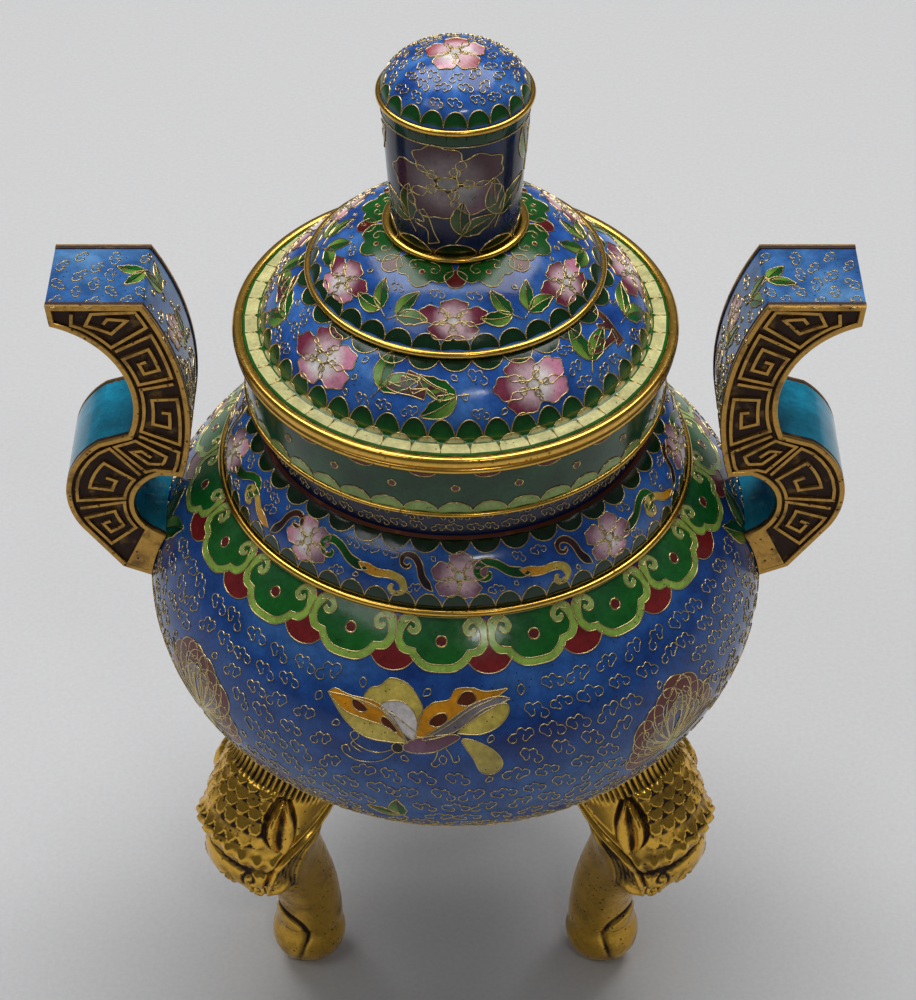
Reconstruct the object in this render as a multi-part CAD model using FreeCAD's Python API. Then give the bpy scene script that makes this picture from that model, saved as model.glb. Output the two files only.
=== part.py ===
"""Lidded cloisonne tripod censer: enamelled copper jar, three cast legs, two fretted ears and a lift-off lid.

Millimetres, +Z up, the jar's axis on Z, the floor at Z = 0 and the two ears on the X axis. -Y is the front.
"""

import FreeCAD, Part
import math
import os

V = FreeCAD.Vector
UP = V(0, 0, 1)
ORIGIN = V(0, 0, 0)

# wall layers, from outside to inside
ENAMEL = 0.9
COPPER = 1.2
LINING = 0.5

# belly: an ellipse turned about the axis
BELLY_RADIUS = 62.0
BELLY_HALF_HEIGHT = 43.0
BELLY_MID_Z = 103.2

# shoulder and neck
SHOULDER_RING_Z = 132.3
SHOULDER_BULGE = 13.0
SHOULDER_TOP_R = 38.6
SHOULDER_TOP_Z = 144.3
NECK_R = 37.9
COLLAR_FOOT_R = 40.3
COLLAR_FOOT_Z = 151.2
COLLAR_TOP_R = 41.0
MOUTH_Z = 162.7
MOUTH_RIM_R = 41.9
MOUTH_RIM_HEIGHT = 1.3
MOUTH_RIM_BEVEL = 0.3
MOUTH_RIM_LEDGE = 0.4
NECK_WALL = 1.3

# lid
SEAT_GAP = 0.05
LID_RIM_R = 42.2
LID_RIM_HEIGHT = 2.2
LID_FLANGE_IN_R = 37.1
TIER_R = 27.3
TIER_Z = 177.8
TIER_STEP = 1.4
LID_LOWER_BULGE = 17.0
LID_UPPER_BULGE = 22.0
KNOB_SEAT_R = 12.6
KNOB_SEAT_Z = 188.0
SPIGOT_R = 37.9
SPIGOT_WALL = 1.2
SPIGOT_DROP = 7.0
SPIGOT_BEVEL = 0.4
LID_RIM_WIDTH = 2.0
LID_RIM_BEVEL = 0.5
LID_RIM_LIP = 0.1
LID_FLOOR_Z = MOUTH_Z + MOUTH_RIM_HEIGHT + SEAT_GAP
LID_FLANGE_Z = LID_FLOOR_Z + LID_RIM_HEIGHT

# knob
KNOB_FOOT_R = 11.9
KNOB_TOP_R = 13.6
KNOB_TOP_Z = 216.3
KNOB_CAP_RISE = 8.1
KNOB_WALL = 1.0
KNOB_ENAMEL = 0.8
KNOB_FLOOR = 1.6

# gilt wires laid round the body
SHOULDER_WIRE = 0.9
COLLAR_WIRE_R = 0.5
COLLAR_WIRE_LOW = 0.1
COLLAR_WIRE_OUT = 0.35
TIER_WIRE_R = 0.75
# the tier's wire as (share of its thickness, height over the tier's foot)
TIER_WIRE_PROFILE = [(0, 0.05), (1.0, 0.25), (1.1, 0.7), (0.8, 1.15), (0, TIER_STEP)]
KNOB_TOP_WIRE_R = 0.6
KNOB_TOP_WIRE_GAP = 0.02
KNOB_TOP_WIRE_SLOPE = 0.3
# the knob's foot wire as (radius, height over the knob's seat)
KNOB_FOOT_WIRE = [
    (KNOB_FOOT_R + 0.12, 0.02),
    (KNOB_SEAT_R + 0.9, 0.02),
    (KNOB_SEAT_R + 0.9, 0.5),
    (KNOB_SEAT_R + 0.2, 1.1),
    (KNOB_FOOT_R + 0.12, 1.2),
]

# ears
EAR_WIDTH = 19.4
PLATE = 1.4
EAR_ENAMEL = 0.8
# the right ear's outline as (x, z), from the tip down the lid side and back up the outer side
EAR_TIP_TOP = (75.6, 175.7)
EAR_BEND = (57.5, 175.7)
EAR_LID_SIDE = (50.6, 152.5)
EAR_HEEL = (52.9, 133.8)
EAR_EYE_START = (57.4, 134.2)
EAR_EYE_SIDE = (62.9, 127.4)
EAR_EYE_END = (58.6, 119.1)
EAR_BURIED_TOP = (54.0, 116.0)
EAR_BURIED_LOW = (54.0, 104.4)
EAR_LOOP_LOW = (66.6, 110.0)
EAR_LOOP_TURN = (74.0, 120.8)
EAR_LOOP_SIDE = (76.1, 129.8)
EAR_LOOP_TOP = (68.8, 142.5)
EAR_NOTCH = (62.8, 144.4)
EAR_HOLLOW = (63.3, 161.0)
EAR_TIP_LOW = (75.2, 170.9)
# areas that part the ear's enamel band into its three colours, as (x, z)
EAR_LID_AREA = [
    (77, 173.3), (67, 171.8), (59, 163), (56.8, 150), (57, 139.5),
    (52.9, 133.8), (46, 128), (46, 182), (77, 182),
]
EAR_EYE_AREA = [
    (52.9, 133.8), (57, 139.5), (66, 138), (69.5, 128), (66, 117), (60, 113), (46, 112), (46, 128),
]

# legs: stations down the casting's centre line, as (distance from the axis, height, radius)
LEG_STATIONS = [
    (36.5, 79.0, 11.6),
    (39.2, 68.0, 11.8),
    (43.0, 60.5, 12.2),
    (46.0, 54.0, 12.9),
    (46.9, 47.6, 12.8),
    (45.3, 41.8, 11.3),
    (42.2, 36.0, 9.0),
    (39.7, 30.0, 7.7),
    (38.0, 24.0, 7.2),
    (37.2, 18.0, 7.1),
    (36.9, 12.0, 7.4),
]
FOOT_BALL = (37.4, 7.8, 8.1)
LEG_ANGLES = {"leg_left": 210.0, "leg_right": 330.0, "leg_back": 90.0}

# fasteners
LEG_STUD_R = 2.0
LEG_STUD_AT_R = 37.0
LEG_STUD_DEPTH = 9.0
LEG_WASHER_R = 4.5
LEG_NUT_FLATS = 7.0
LEG_NUT_HEIGHT = 3.2
LEG_STUD_TAIL = 1.5
STUD_START = 1.5
EAR_STUD_R = 1.5
EAR_STUD_Z = 112.2
EAR_STUD_SPACING = 9.0
EAR_STUD_DEPTH = 5.5
EAR_WASHER_R = 3.5
EAR_NUT_FLATS = 5.5
EAR_NUT_HEIGHT = 2.4
EAR_STUD_TAIL = 1.2
KNOB_STUD_R = 2.0
KNOB_STUD_TAIL = 2.5
KNOB_HEAD_R = 4.5
KNOB_HEAD_HEIGHT = 2.2
KNOB_WASHER_R = 5.0
KNOB_NUT_FLATS = 7.0
KNOB_NUT_HEIGHT = 3.2
HOLE_CLEARANCE = 0.15
THREAD_CLEARANCE = 0.02
WALL_HOLE_OUT = 2.0
WALL_HOLE_IN = 6.0
WASHER_THICK = 0.8
WASHER_LIFT = 0.35
# pieces smaller than this, in cubic millimetres, are slivers of a cut
SLIVER = 0.5


def point(r, z):
    """A point of the turning profile, in the XZ plane."""
    return V(r, 0, z)


def line(a, b):
    return Part.LineSegment(a, b).toShape()


def polyline(points):
    return [line(a, b) for a, b in zip(points, points[1:])]


def arc(a, b, radius):
    """The shorter arc from a to b in the XZ plane, bulging away from the axis and upwards."""
    chord = b - a
    half = chord.Length / 2
    across = V(chord.z, 0, -chord.x).normalize()
    if across.x < 0:
        across = across * -1
    centre = (a + b) * 0.5 - across * math.sqrt(radius**2 - half**2)
    return Part.Arc(a, centre + across * radius, b).toShape()


def turned(edges):
    """Solid swept by a closed profile about the Z axis."""
    face = Part.Face(Part.Wire(Part.__sortEdges__(edges)))
    solid = face.revolve(ORIGIN, UP, 360)
    return Part.Solid(solid) if solid.ShapeType == "Shell" else solid


def turned_polygon(points):
    corners = [point(r, z) for r, z in points]
    return turned(polyline(corners + corners[:1]))


def belly_z(radius):
    """Height of the belly's lower half at a radius."""
    return BELLY_MID_Z - BELLY_HALF_HEIGHT * math.sqrt(1 - (radius / BELLY_RADIUS) ** 2)


def belly_r(z, inset):
    """Radius at a height, for the surface that lies inset inside the outer one."""
    a, b = BELLY_RADIUS - inset, BELLY_HALF_HEIGHT - inset
    return a * math.sqrt(1 - ((z - BELLY_MID_Z) / b) ** 2)


def belly_arc(inset, low, high):
    """Belly profile between two turns of the ellipse, -pi/2 at the bottom and 0 at the equator."""
    a, b = BELLY_RADIUS - inset, BELLY_HALF_HEIGHT - inset
    ellipse = Part.Ellipse(point(a, BELLY_MID_Z), point(0, BELLY_MID_Z + b), point(0, BELLY_MID_Z))
    return Part.ArcOfEllipse(ellipse, low, high).toBSpline().toShape()


def belly_turn(z, inset):
    return math.asin((z - BELLY_MID_Z) / (BELLY_HALF_HEIGHT - inset))


def belly_point(z, inset):
    return point(belly_r(z, inset), z)


def belly_layer(outer, inner, low_z=None, high_z=SHOULDER_RING_Z):
    """One layer of the belly wall, from low_z (or the bottom) to high_z."""
    edges = []
    for inset in (outer, inner):
        low = -math.pi / 2 if low_z is None else belly_turn(low_z, inset)
        edges.append(belly_arc(inset, low, belly_turn(high_z, inset)))
    edges.append(line(belly_point(high_z, outer), belly_point(high_z, inner)))
    if low_z is None:
        bottom = BELLY_MID_Z - BELLY_HALF_HEIGHT
        edges.append(line(point(0, bottom + outer), point(0, bottom + inner)))
    else:
        edges.append(line(belly_point(low_z, outer), belly_point(low_z, inner)))
    return turned(edges)


def shoulder_ends(inset):
    low = belly_point(SHOULDER_RING_Z, inset)
    return low, point(SHOULDER_TOP_R - inset, SHOULDER_TOP_Z)


def shoulder_layer(outer, inner):
    """One layer of the rolled shoulder between the belly and the neck."""
    a, b = shoulder_ends(outer)
    c, d = shoulder_ends(inner)
    return turned([arc(a, b, SHOULDER_BULGE), line(b, d), arc(c, d, SHOULDER_BULGE), line(a, c)])


def jar_walls():
    copper_in = ENAMEL + COPPER
    lining_in = copper_in + LINING
    neck_out = NECK_R - ENAMEL
    neck_in = neck_out - NECK_WALL
    collar_foot = COLLAR_FOOT_R - ENAMEL
    collar_top = COLLAR_TOP_R - ENAMEL
    neck = turned_polygon([
        (neck_in, SHOULDER_TOP_Z),
        (neck_out, SHOULDER_TOP_Z),
        (neck_out, COLLAR_FOOT_Z),
        (collar_foot, COLLAR_FOOT_Z),
        (collar_top, MOUTH_Z),
        (collar_top - NECK_WALL, MOUTH_Z),
        (collar_foot - NECK_WALL, COLLAR_FOOT_Z + NECK_WALL),
        (neck_in, COLLAR_FOOT_Z + NECK_WALL),
    ])
    return {
        "bowl_lower_copper": belly_layer(ENAMEL, copper_in, None, BELLY_MID_Z),
        "bowl_upper_copper": belly_layer(ENAMEL, copper_in, BELLY_MID_Z).fuse(
            shoulder_layer(ENAMEL, copper_in)
        ).removeSplitter(),
        "neck_copper": neck,
        "belly_enamel": belly_layer(0, ENAMEL),
        "bowl_lining": belly_layer(copper_in, lining_in),
        "shoulder_enamel": shoulder_layer(0, ENAMEL),
    }


def shoulder_ring():
    """Gilt wire in the angle between the belly and the shoulder, touching both along one circle."""
    r = belly_r(SHOULDER_RING_Z, 0)
    normal = belly_normal(r, SHOULDER_RING_Z)
    down = V(normal.z, 0, -normal.x)
    corners = [
        point(r, SHOULDER_RING_Z),
        point(r, SHOULDER_RING_Z) + down * SHOULDER_WIRE,
        point(r + 1.2 * SHOULDER_WIRE, SHOULDER_RING_Z - 0.1 * SHOULDER_WIRE),
        point(r + SHOULDER_WIRE, SHOULDER_RING_Z + 0.7 * SHOULDER_WIRE),
        point(r + 0.1, SHOULDER_RING_Z + SHOULDER_WIRE),
    ]
    return turned(polyline(corners + corners[:1]))


def neck_trim():
    foot_in = COLLAR_FOOT_R - ENAMEL
    top_in = COLLAR_TOP_R - ENAMEL
    rim_in = top_in - NECK_WALL - MOUTH_RIM_LEDGE
    band_low = COLLAR_FOOT_Z + 2 * COLLAR_WIRE_R
    share = 2 * COLLAR_WIRE_R / (MOUTH_Z - COLLAR_FOOT_Z)
    low_shift = (COLLAR_TOP_R - COLLAR_FOOT_R) * share
    crown = MOUTH_Z + MOUTH_RIM_HEIGHT
    rim = turned_polygon([
        (rim_in, MOUTH_Z),
        (MOUTH_RIM_R - MOUTH_RIM_BEVEL, MOUTH_Z),
        (MOUTH_RIM_R, MOUTH_Z + MOUTH_RIM_BEVEL),
        (MOUTH_RIM_R, crown - MOUTH_RIM_BEVEL),
        (MOUTH_RIM_R - MOUTH_RIM_BEVEL, crown),
        (rim_in, crown),
    ])
    return {
        "neck_enamel": turned_polygon([
            (NECK_R - ENAMEL, SHOULDER_TOP_Z),
            (NECK_R, SHOULDER_TOP_Z),
            (NECK_R, COLLAR_FOOT_Z),
            (NECK_R - ENAMEL, COLLAR_FOOT_Z),
        ]),
        "collar_foot_ring": turned_polygon([
            (foot_in, COLLAR_FOOT_Z),
            (COLLAR_FOOT_R + COLLAR_WIRE_LOW, COLLAR_FOOT_Z),
            (COLLAR_FOOT_R + COLLAR_WIRE_OUT, COLLAR_FOOT_Z + COLLAR_WIRE_R),
            (COLLAR_FOOT_R + COLLAR_WIRE_LOW, band_low),
            (foot_in + low_shift, band_low),
        ]),
        "collar_enamel": turned_polygon([
            (foot_in + low_shift, band_low),
            (COLLAR_FOOT_R + low_shift, band_low),
            (COLLAR_TOP_R, MOUTH_Z),
            (top_in, MOUTH_Z),
        ]),
        "mouth_rim": rim,
        "shoulder_ring": shoulder_ring(),
    }


def lid_arcs(inset):
    """Lower and upper dome of the lid, inset below the outer surface."""
    lower = arc(
        point(LID_FLANGE_IN_R - inset, LID_FLANGE_Z - inset),
        point(TIER_R - inset, TIER_Z - inset),
        LID_LOWER_BULGE,
    )
    upper = arc(
        point(TIER_R - inset, TIER_Z + TIER_STEP - inset),
        point(KNOB_SEAT_R, KNOB_SEAT_Z - inset),
        LID_UPPER_BULGE,
    )
    return lower, upper


def lid_profile(inset, rim_r):
    """Open profile of a lid surface, from the flange's edge to the knob's seat."""
    lower, upper = lid_arcs(inset)
    edge = point(rim_r, LID_FLANGE_Z - inset)
    step_low = point(TIER_R - inset, TIER_Z - inset)
    step_high = point(TIER_R - inset, TIER_Z + TIER_STEP - inset)
    return edge, [
        line(edge, point(LID_FLANGE_IN_R - inset, LID_FLANGE_Z - inset)),
        lower,
        line(step_low, step_high),
        upper,
    ], point(KNOB_SEAT_R, KNOB_SEAT_Z - inset)


def lid_layer(outer, inner, rim_r, centre_r):
    """Lid shell between two insets; centre_r is how far in it reaches under the knob."""
    edge_out, top, seat_out = lid_profile(outer, rim_r)
    edge_in, under, seat_in = lid_profile(inner, rim_r)
    edges = top + under + [line(edge_out, edge_in)]
    if centre_r < KNOB_SEAT_R:
        hole_out, hole_in = point(centre_r, seat_out.z), point(centre_r, seat_in.z)
        edges += [line(seat_out, hole_out), line(hole_out, hole_in), line(hole_in, seat_in)]
    else:
        edges.append(line(seat_out, seat_in))
    return turned(edges)


def lid_parts():
    copper_in = ENAMEL + COPPER
    lining_in = copper_in + LINING
    hole_r = KNOB_STUD_R + HOLE_CLEARANCE
    rim_in = LID_RIM_R - LID_RIM_WIDTH
    rim = turned_polygon([
        (rim_in, LID_FLOOR_Z),
        (LID_RIM_R - LID_RIM_BEVEL, LID_FLOOR_Z),
        (LID_RIM_R, LID_FLOOR_Z + LID_RIM_BEVEL),
        (LID_RIM_R, LID_FLANGE_Z - LID_RIM_BEVEL),
        (LID_RIM_R - LID_RIM_BEVEL, LID_FLANGE_Z + LID_RIM_LIP),
        (rim_in, LID_FLANGE_Z + LID_RIM_LIP),
    ])
    # the enamel skin is one turned layer, parted at the tier's foot into a lower and an upper band
    whole = lid_layer(0, ENAMEL, rim_in, KNOB_SEAT_R)
    below = Part.makeCylinder(BELLY_RADIUS, TIER_Z - LID_FLOOR_Z, V(0, 0, LID_FLOOR_Z))
    spigot_in = SPIGOT_R - SPIGOT_WALL
    spigot_low = LID_FLOOR_Z - SPIGOT_DROP
    spigot_top = LID_FLANGE_Z - copper_in
    spigot = turned_polygon([
        (spigot_in, spigot_low),
        (SPIGOT_R - SPIGOT_BEVEL, spigot_low),
        (SPIGOT_R, spigot_low + SPIGOT_BEVEL),
        (SPIGOT_R, spigot_top),
        (spigot_in, spigot_top),
    ])
    return {
        "lid_rim": rim,
        "lid_lower_enamel": whole.common(below),
        "lid_upper_enamel": whole.cut(below),
        "lid_copper": lid_layer(ENAMEL, copper_in, rim_in, hole_r),
        "lid_lining": lid_layer(copper_in, lining_in, LID_FLANGE_IN_R - lining_in + SEAT_GAP, hole_r),
        "lid_spigot": spigot,
        "lid_tier_ring": turned_polygon([
            (TIER_R + share * TIER_WIRE_R, TIER_Z + rise) for share, rise in TIER_WIRE_PROFILE
        ]),
    }


def knob_wall_r(z, inset):
    """Radius of the knob's tapered wall at a height."""
    share = (z - KNOB_SEAT_Z) / (KNOB_TOP_Z - KNOB_SEAT_Z)
    return KNOB_FOOT_R + share * (KNOB_TOP_R - KNOB_FOOT_R) - inset


def knob_cap(outer, inner):
    """Shell of the knob's domed cap between two insets."""
    edges = []
    rims = []
    crowns = []
    for inset in (outer, inner):
        rim = point(KNOB_TOP_R - inset, KNOB_TOP_Z)
        crown = point(0, KNOB_TOP_Z + KNOB_CAP_RISE - inset)
        ellipse = Part.Ellipse(rim, crown, point(0, KNOB_TOP_Z))
        edges.append(Part.ArcOfEllipse(ellipse, 0, math.pi / 2).toBSpline().toShape())
        rims.append(rim)
        crowns.append(crown)
    return turned(edges + [line(*rims), line(*crowns)])


def knob_walls():
    wall_in = KNOB_ENAMEL + KNOB_WALL
    foot = KNOB_SEAT_Z
    floor_top = foot + KNOB_FLOOR
    top = KNOB_TOP_Z
    hole_r = KNOB_STUD_R + HOLE_CLEARANCE
    wire_in = KNOB_TOP_R + KNOB_TOP_WIRE_GAP
    wire_out = KNOB_TOP_R + KNOB_TOP_WIRE_R
    wire_half = KNOB_TOP_WIRE_SLOPE + KNOB_TOP_WIRE_R / 2
    return {
        "knob_copper": turned_polygon([
            (hole_r, foot),
            (knob_wall_r(foot, KNOB_ENAMEL), foot),
            (knob_wall_r(top, KNOB_ENAMEL), top),
            (knob_wall_r(top, wall_in), top),
            (knob_wall_r(floor_top, wall_in), floor_top),
            (hole_r, floor_top),
        ]),
        "knob_enamel": turned_polygon([
            (knob_wall_r(foot, KNOB_ENAMEL), foot),
            (knob_wall_r(foot, 0), foot),
            (knob_wall_r(top, 0), top),
            (knob_wall_r(top, KNOB_ENAMEL), top),
        ]),
        "knob_cap_copper": knob_cap(KNOB_ENAMEL, wall_in),
        "knob_cap_enamel": knob_cap(0, KNOB_ENAMEL),
        "knob_top_ring": turned_polygon([
            (wire_in, top - wire_half),
            (wire_out, top - wire_half + KNOB_TOP_WIRE_SLOPE),
            (wire_out, top + wire_half - KNOB_TOP_WIRE_SLOPE),
            (wire_in, top + wire_half),
        ]),
        "knob_foot_ring": turned_polygon([(r, foot + rise) for r, rise in KNOB_FOOT_WIRE]),
    }


def knob_fixing():
    """Stud, washer and nut that hold the knob down on the lid."""
    floor_top = KNOB_SEAT_Z + KNOB_FLOOR
    washer_low = KNOB_SEAT_Z - ENAMEL - COPPER - LINING - WASHER_THICK
    nut_low = washer_low - KNOB_NUT_HEIGHT
    stud_low = nut_low - KNOB_STUD_TAIL
    stud = Part.makeCylinder(KNOB_STUD_R, floor_top - stud_low, V(0, 0, stud_low))
    head = Part.makeCylinder(KNOB_HEAD_R, KNOB_HEAD_HEIGHT, V(0, 0, floor_top))
    return {
        "knob_stud": stud.fuse(head).removeSplitter(),
        "knob_washer": washer(V(0, 0, washer_low), UP, KNOB_STUD_R, KNOB_WASHER_R),
        "knob_nut": nut(V(0, 0, nut_low), UP, KNOB_STUD_R, KNOB_NUT_FLATS, KNOB_NUT_HEIGHT),
    }


def washer(base, axis, bore_r, outer_r):
    disc = Part.makeCylinder(outer_r, WASHER_THICK, base, axis)
    return disc.cut(Part.makeCylinder(bore_r + HOLE_CLEARANCE, WASHER_THICK, base, axis))


def nut(base, axis, bore_r, across_flats, height):
    """Hexagon nut standing on base, bored a hair over the stud."""
    corner = across_flats / math.sqrt(3)
    ring = [V(corner * math.cos(k * math.pi / 3), corner * math.sin(k * math.pi / 3), 0) for k in range(7)]
    prism = Part.Face(Part.makePolygon(ring)).extrude(V(0, 0, height))
    prism = prism.cut(Part.makeCylinder(bore_r + THREAD_CLEARANCE, height))
    prism.Placement = FreeCAD.Placement(base, FreeCAD.Rotation(UP, axis))
    return prism


def ear_face(inset):
    """Face of the right ear's outline in the XZ plane, drawn in by inset."""

    def straight(a, b):
        return line(point(*a), point(*b))

    def through(a, middle, b):
        return Part.Arc(point(*a), point(*middle), point(*b)).toShape()

    edges = [
        straight(EAR_TIP_TOP, EAR_BEND),
        through(EAR_BEND, EAR_LID_SIDE, EAR_HEEL),
        straight(EAR_HEEL, EAR_EYE_START),
        through(EAR_EYE_START, EAR_EYE_SIDE, EAR_EYE_END),
        straight(EAR_EYE_END, EAR_BURIED_TOP),
        straight(EAR_BURIED_TOP, EAR_BURIED_LOW),
        straight(EAR_BURIED_LOW, EAR_LOOP_LOW),
        straight(EAR_LOOP_LOW, EAR_LOOP_TURN),
        through(EAR_LOOP_TURN, EAR_LOOP_SIDE, EAR_LOOP_TOP),
        straight(EAR_LOOP_TOP, EAR_NOTCH),
        through(EAR_NOTCH, EAR_HOLLOW, EAR_TIP_LOW),
        straight(EAR_TIP_LOW, EAR_TIP_TOP),
    ]
    face = Part.Face(Part.Wire(edges))
    return face.makeOffset2D(-inset) if inset else face


def slab(face, low_y, high_y):
    moved = face.copy()
    moved.translate(V(0, low_y, 0))
    return moved.extrude(V(0, high_y - low_y, 0))


def ear_area(points):
    """Prism over the whole width of an ear."""
    corners = [point(x, z) for x, z in points]
    return slab(Part.Face(Part.makePolygon(corners + corners[:1])), -EAR_WIDTH, EAR_WIDTH)


def ear_parts(side, belly_solid):
    """The pieces of one ear, with the stretch inside the jar's wall cut away; side is right or left."""
    inner_y = EAR_WIDTH / 2 - PLATE
    whole, inset = ear_face(0), ear_face(EAR_ENAMEL)
    core = slab(inset, -inner_y, inner_y)
    band = slab(whole, -inner_y, inner_y).cut(core)
    facing_lid, eye = ear_area(EAR_LID_AREA), ear_area(EAR_EYE_AREA)
    pieces = {
        "core": core,
        "front_plate": slab(whole, -EAR_WIDTH / 2, -inner_y),
        "rear_plate": slab(whole, inner_y, EAR_WIDTH / 2),
        "inner_enamel": band.common(facing_lid),
        "eye_enamel": band.common(eye),
        "outer_enamel": band.cut(facing_lid).cut(eye),
    }
    made = {}
    for name, solid in pieces.items():
        solid = solid.cut(belly_solid)
        for base, axis in ear_stud_places():
            solid = solid.cut(stud_rod(base, axis, EAR_STUD_R, EAR_STUD_DEPTH, STUD_START))
        if side == "left":
            solid = solid.mirror(ORIGIN, V(1, 0, 0))
        made[f"ear_{side}_{name}"] = solid
    return made


def keep_solids(shape):
    """The shape without the slivers that a cut leaves behind."""
    solids = [s for s in shape.Solids if s.Volume > SLIVER]
    return solids[0] if len(solids) == 1 else Part.makeCompound(solids)


def stud_rod(surface, axis, radius, depth_out, depth_in):
    """Cylinder through a wall: axis points out of the jar, and surface lies on the wall's outer face."""
    base = surface - axis * depth_in
    return Part.makeCylinder(radius, depth_in + depth_out, base, axis)


def belly_normal(radius, z):
    normal = V(radius / BELLY_RADIUS**2, 0, (z - BELLY_MID_Z) / BELLY_HALF_HEIGHT**2)
    return normal.normalize()


def ear_stud_places():
    """Where the right ear's studs cross the jar's outer face, with the way out."""
    r = belly_r(EAR_STUD_Z, 0)
    axis = belly_normal(r, EAR_STUD_Z)
    places = []
    for y in (-EAR_STUD_SPACING / 2, EAR_STUD_SPACING / 2):
        x = math.sqrt(r**2 - y**2)
        places.append((V(x, y, EAR_STUD_Z), axis))
    return places


def leg_stud_place():
    """Where a stud would cross the jar's outer face in the XZ plane, with the way out."""
    z = belly_z(LEG_STUD_AT_R)
    return point(LEG_STUD_AT_R, z), belly_normal(LEG_STUD_AT_R, z)


def leg_casting(belly_solid):
    """One cast leg in the XZ plane, saddled to the jar and flat under its foot."""
    centres = [point(r, z) for r, z, _ in LEG_STATIONS]
    sections = []
    for k, (_, _, radius) in enumerate(LEG_STATIONS):
        before, after = centres[max(k - 1, 0)], centres[min(k + 1, len(centres) - 1)]
        sections.append(Part.Wire(Part.makeCircle(radius, centres[k], after - before)))
    shaft = Part.makeLoft(sections, True)
    r, z, ball = FOOT_BALL
    solid = shaft.fuse(Part.makeSphere(ball, point(r, z))).removeSplitter()
    reach = 4 * ball
    floor = Part.makeBox(2 * reach, 2 * reach, reach, V(r - reach, -reach, -reach))
    surface, axis = leg_stud_place()
    solid = solid.cut(floor).cut(belly_solid)
    return solid.cut(stud_rod(surface, axis, LEG_STUD_R, LEG_STUD_DEPTH, STUD_START))


def turned_to(shape, degrees):
    copy = shape.copy()
    copy.rotate(ORIGIN, UP, degrees)
    return copy


def fasteners():
    """Studs, washers and nuts that hold the legs and ears, each group as one compound."""
    wall = ENAMEL + COPPER + LINING
    seat_in = wall + WASHER_LIFT
    surface, axis = leg_stud_place()
    leg_in = seat_in + WASHER_THICK + LEG_NUT_HEIGHT + LEG_STUD_TAIL
    seat = surface - axis * seat_in
    leg = {
        "leg_studs": stud_rod(surface, axis, LEG_STUD_R, LEG_STUD_DEPTH, leg_in),
        "leg_washers": washer(seat, axis * -1, LEG_STUD_R, LEG_WASHER_R),
        "leg_nuts": nut(seat - axis * WASHER_THICK, axis * -1, LEG_STUD_R, LEG_NUT_FLATS, LEG_NUT_HEIGHT),
    }
    groups = {}
    for name, shape in leg.items():
        groups[name] = [turned_to(shape, degrees) for degrees in LEG_ANGLES.values()]
    ear_in = seat_in + WASHER_THICK + EAR_NUT_HEIGHT + EAR_STUD_TAIL
    groups.update({"ear_studs": [], "ear_washers": [], "ear_nuts": []})
    for degrees in (0, 180):
        for surface, axis in ear_stud_places():
            seat = surface - axis * seat_in
            stud = stud_rod(surface, axis, EAR_STUD_R, EAR_STUD_DEPTH, ear_in)
            plate = washer(seat, axis * -1, EAR_STUD_R, EAR_WASHER_R)
            hexagon = nut(seat - axis * WASHER_THICK, axis * -1, EAR_STUD_R, EAR_NUT_FLATS, EAR_NUT_HEIGHT)
            groups["ear_studs"].append(turned_to(stud, degrees))
            groups["ear_washers"].append(turned_to(plate, degrees))
            groups["ear_nuts"].append(turned_to(hexagon, degrees))
    return {name: Part.makeCompound(shapes) for name, shapes in groups.items()}


def wall_holes():
    """Clearance holes for every stud that crosses the jar's wall."""
    surface, axis = leg_stud_place()
    leg = stud_rod(surface, axis, LEG_STUD_R + HOLE_CLEARANCE, WALL_HOLE_OUT, WALL_HOLE_IN)
    holes = [turned_to(leg, degrees) for degrees in LEG_ANGLES.values()]
    for degrees in (0, 180):
        for surface, axis in ear_stud_places():
            rod = stud_rod(surface, axis, EAR_STUD_R + HOLE_CLEARANCE, WALL_HOLE_OUT, WALL_HOLE_IN)
            holes.append(turned_to(rod, degrees))
    return holes


def main():
    belly_solid = turned([
        belly_arc(0, -math.pi / 2, belly_turn(SHOULDER_RING_Z, 0)),
        line(belly_point(SHOULDER_RING_Z, 0), point(0, SHOULDER_RING_Z)),
        line(point(0, SHOULDER_RING_Z), point(0, BELLY_MID_Z - BELLY_HALF_HEIGHT)),
    ])
    parts = {}
    walls = jar_walls()
    holes = wall_holes()
    for name in ("bowl_lower_copper", "bowl_upper_copper", "belly_enamel", "bowl_lining"):
        for hole in holes:
            walls[name] = walls[name].cut(hole)
    parts.update(walls)
    parts.update(neck_trim())
    parts["shoulder_ring"] = parts["shoulder_ring"].cut(walls["shoulder_enamel"])
    parts.update(lid_parts())
    parts.update(knob_walls())
    parts.update(knob_fixing())
    for side in ("right", "left"):
        parts.update(ear_parts(side, belly_solid))
    leg = leg_casting(belly_solid)
    for name, degrees in LEG_ANGLES.items():
        parts[name] = turned_to(leg, degrees)
    parts.update(fasteners())
    os.makedirs("parts", exist_ok=True)
    for name, shape in parts.items():
        shape = keep_solids(shape)
        print(f"{name}: {len(shape.Solids)} solid(s), {shape.Volume:.1f} mm3, valid {shape.isValid()}")
        shape.exportStep(f"parts/{name}.step")


main()
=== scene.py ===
"""Looks of the lidded cloisonne tripod censer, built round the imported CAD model.

Lengths in this script are millimetres until a mesh is made. A turned surface is unrolled: "turn" is the
angle about the jar's axis from the front, positive to the right, and "s" runs up its profile. A motif is
drawn flat, in x to the right and y up, and then laid on the surface.
"""

import math
import random

import bpy
import numpy as np
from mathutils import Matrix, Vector, noise
from mathutils.geometry import delaunay_2d_cdt


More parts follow.
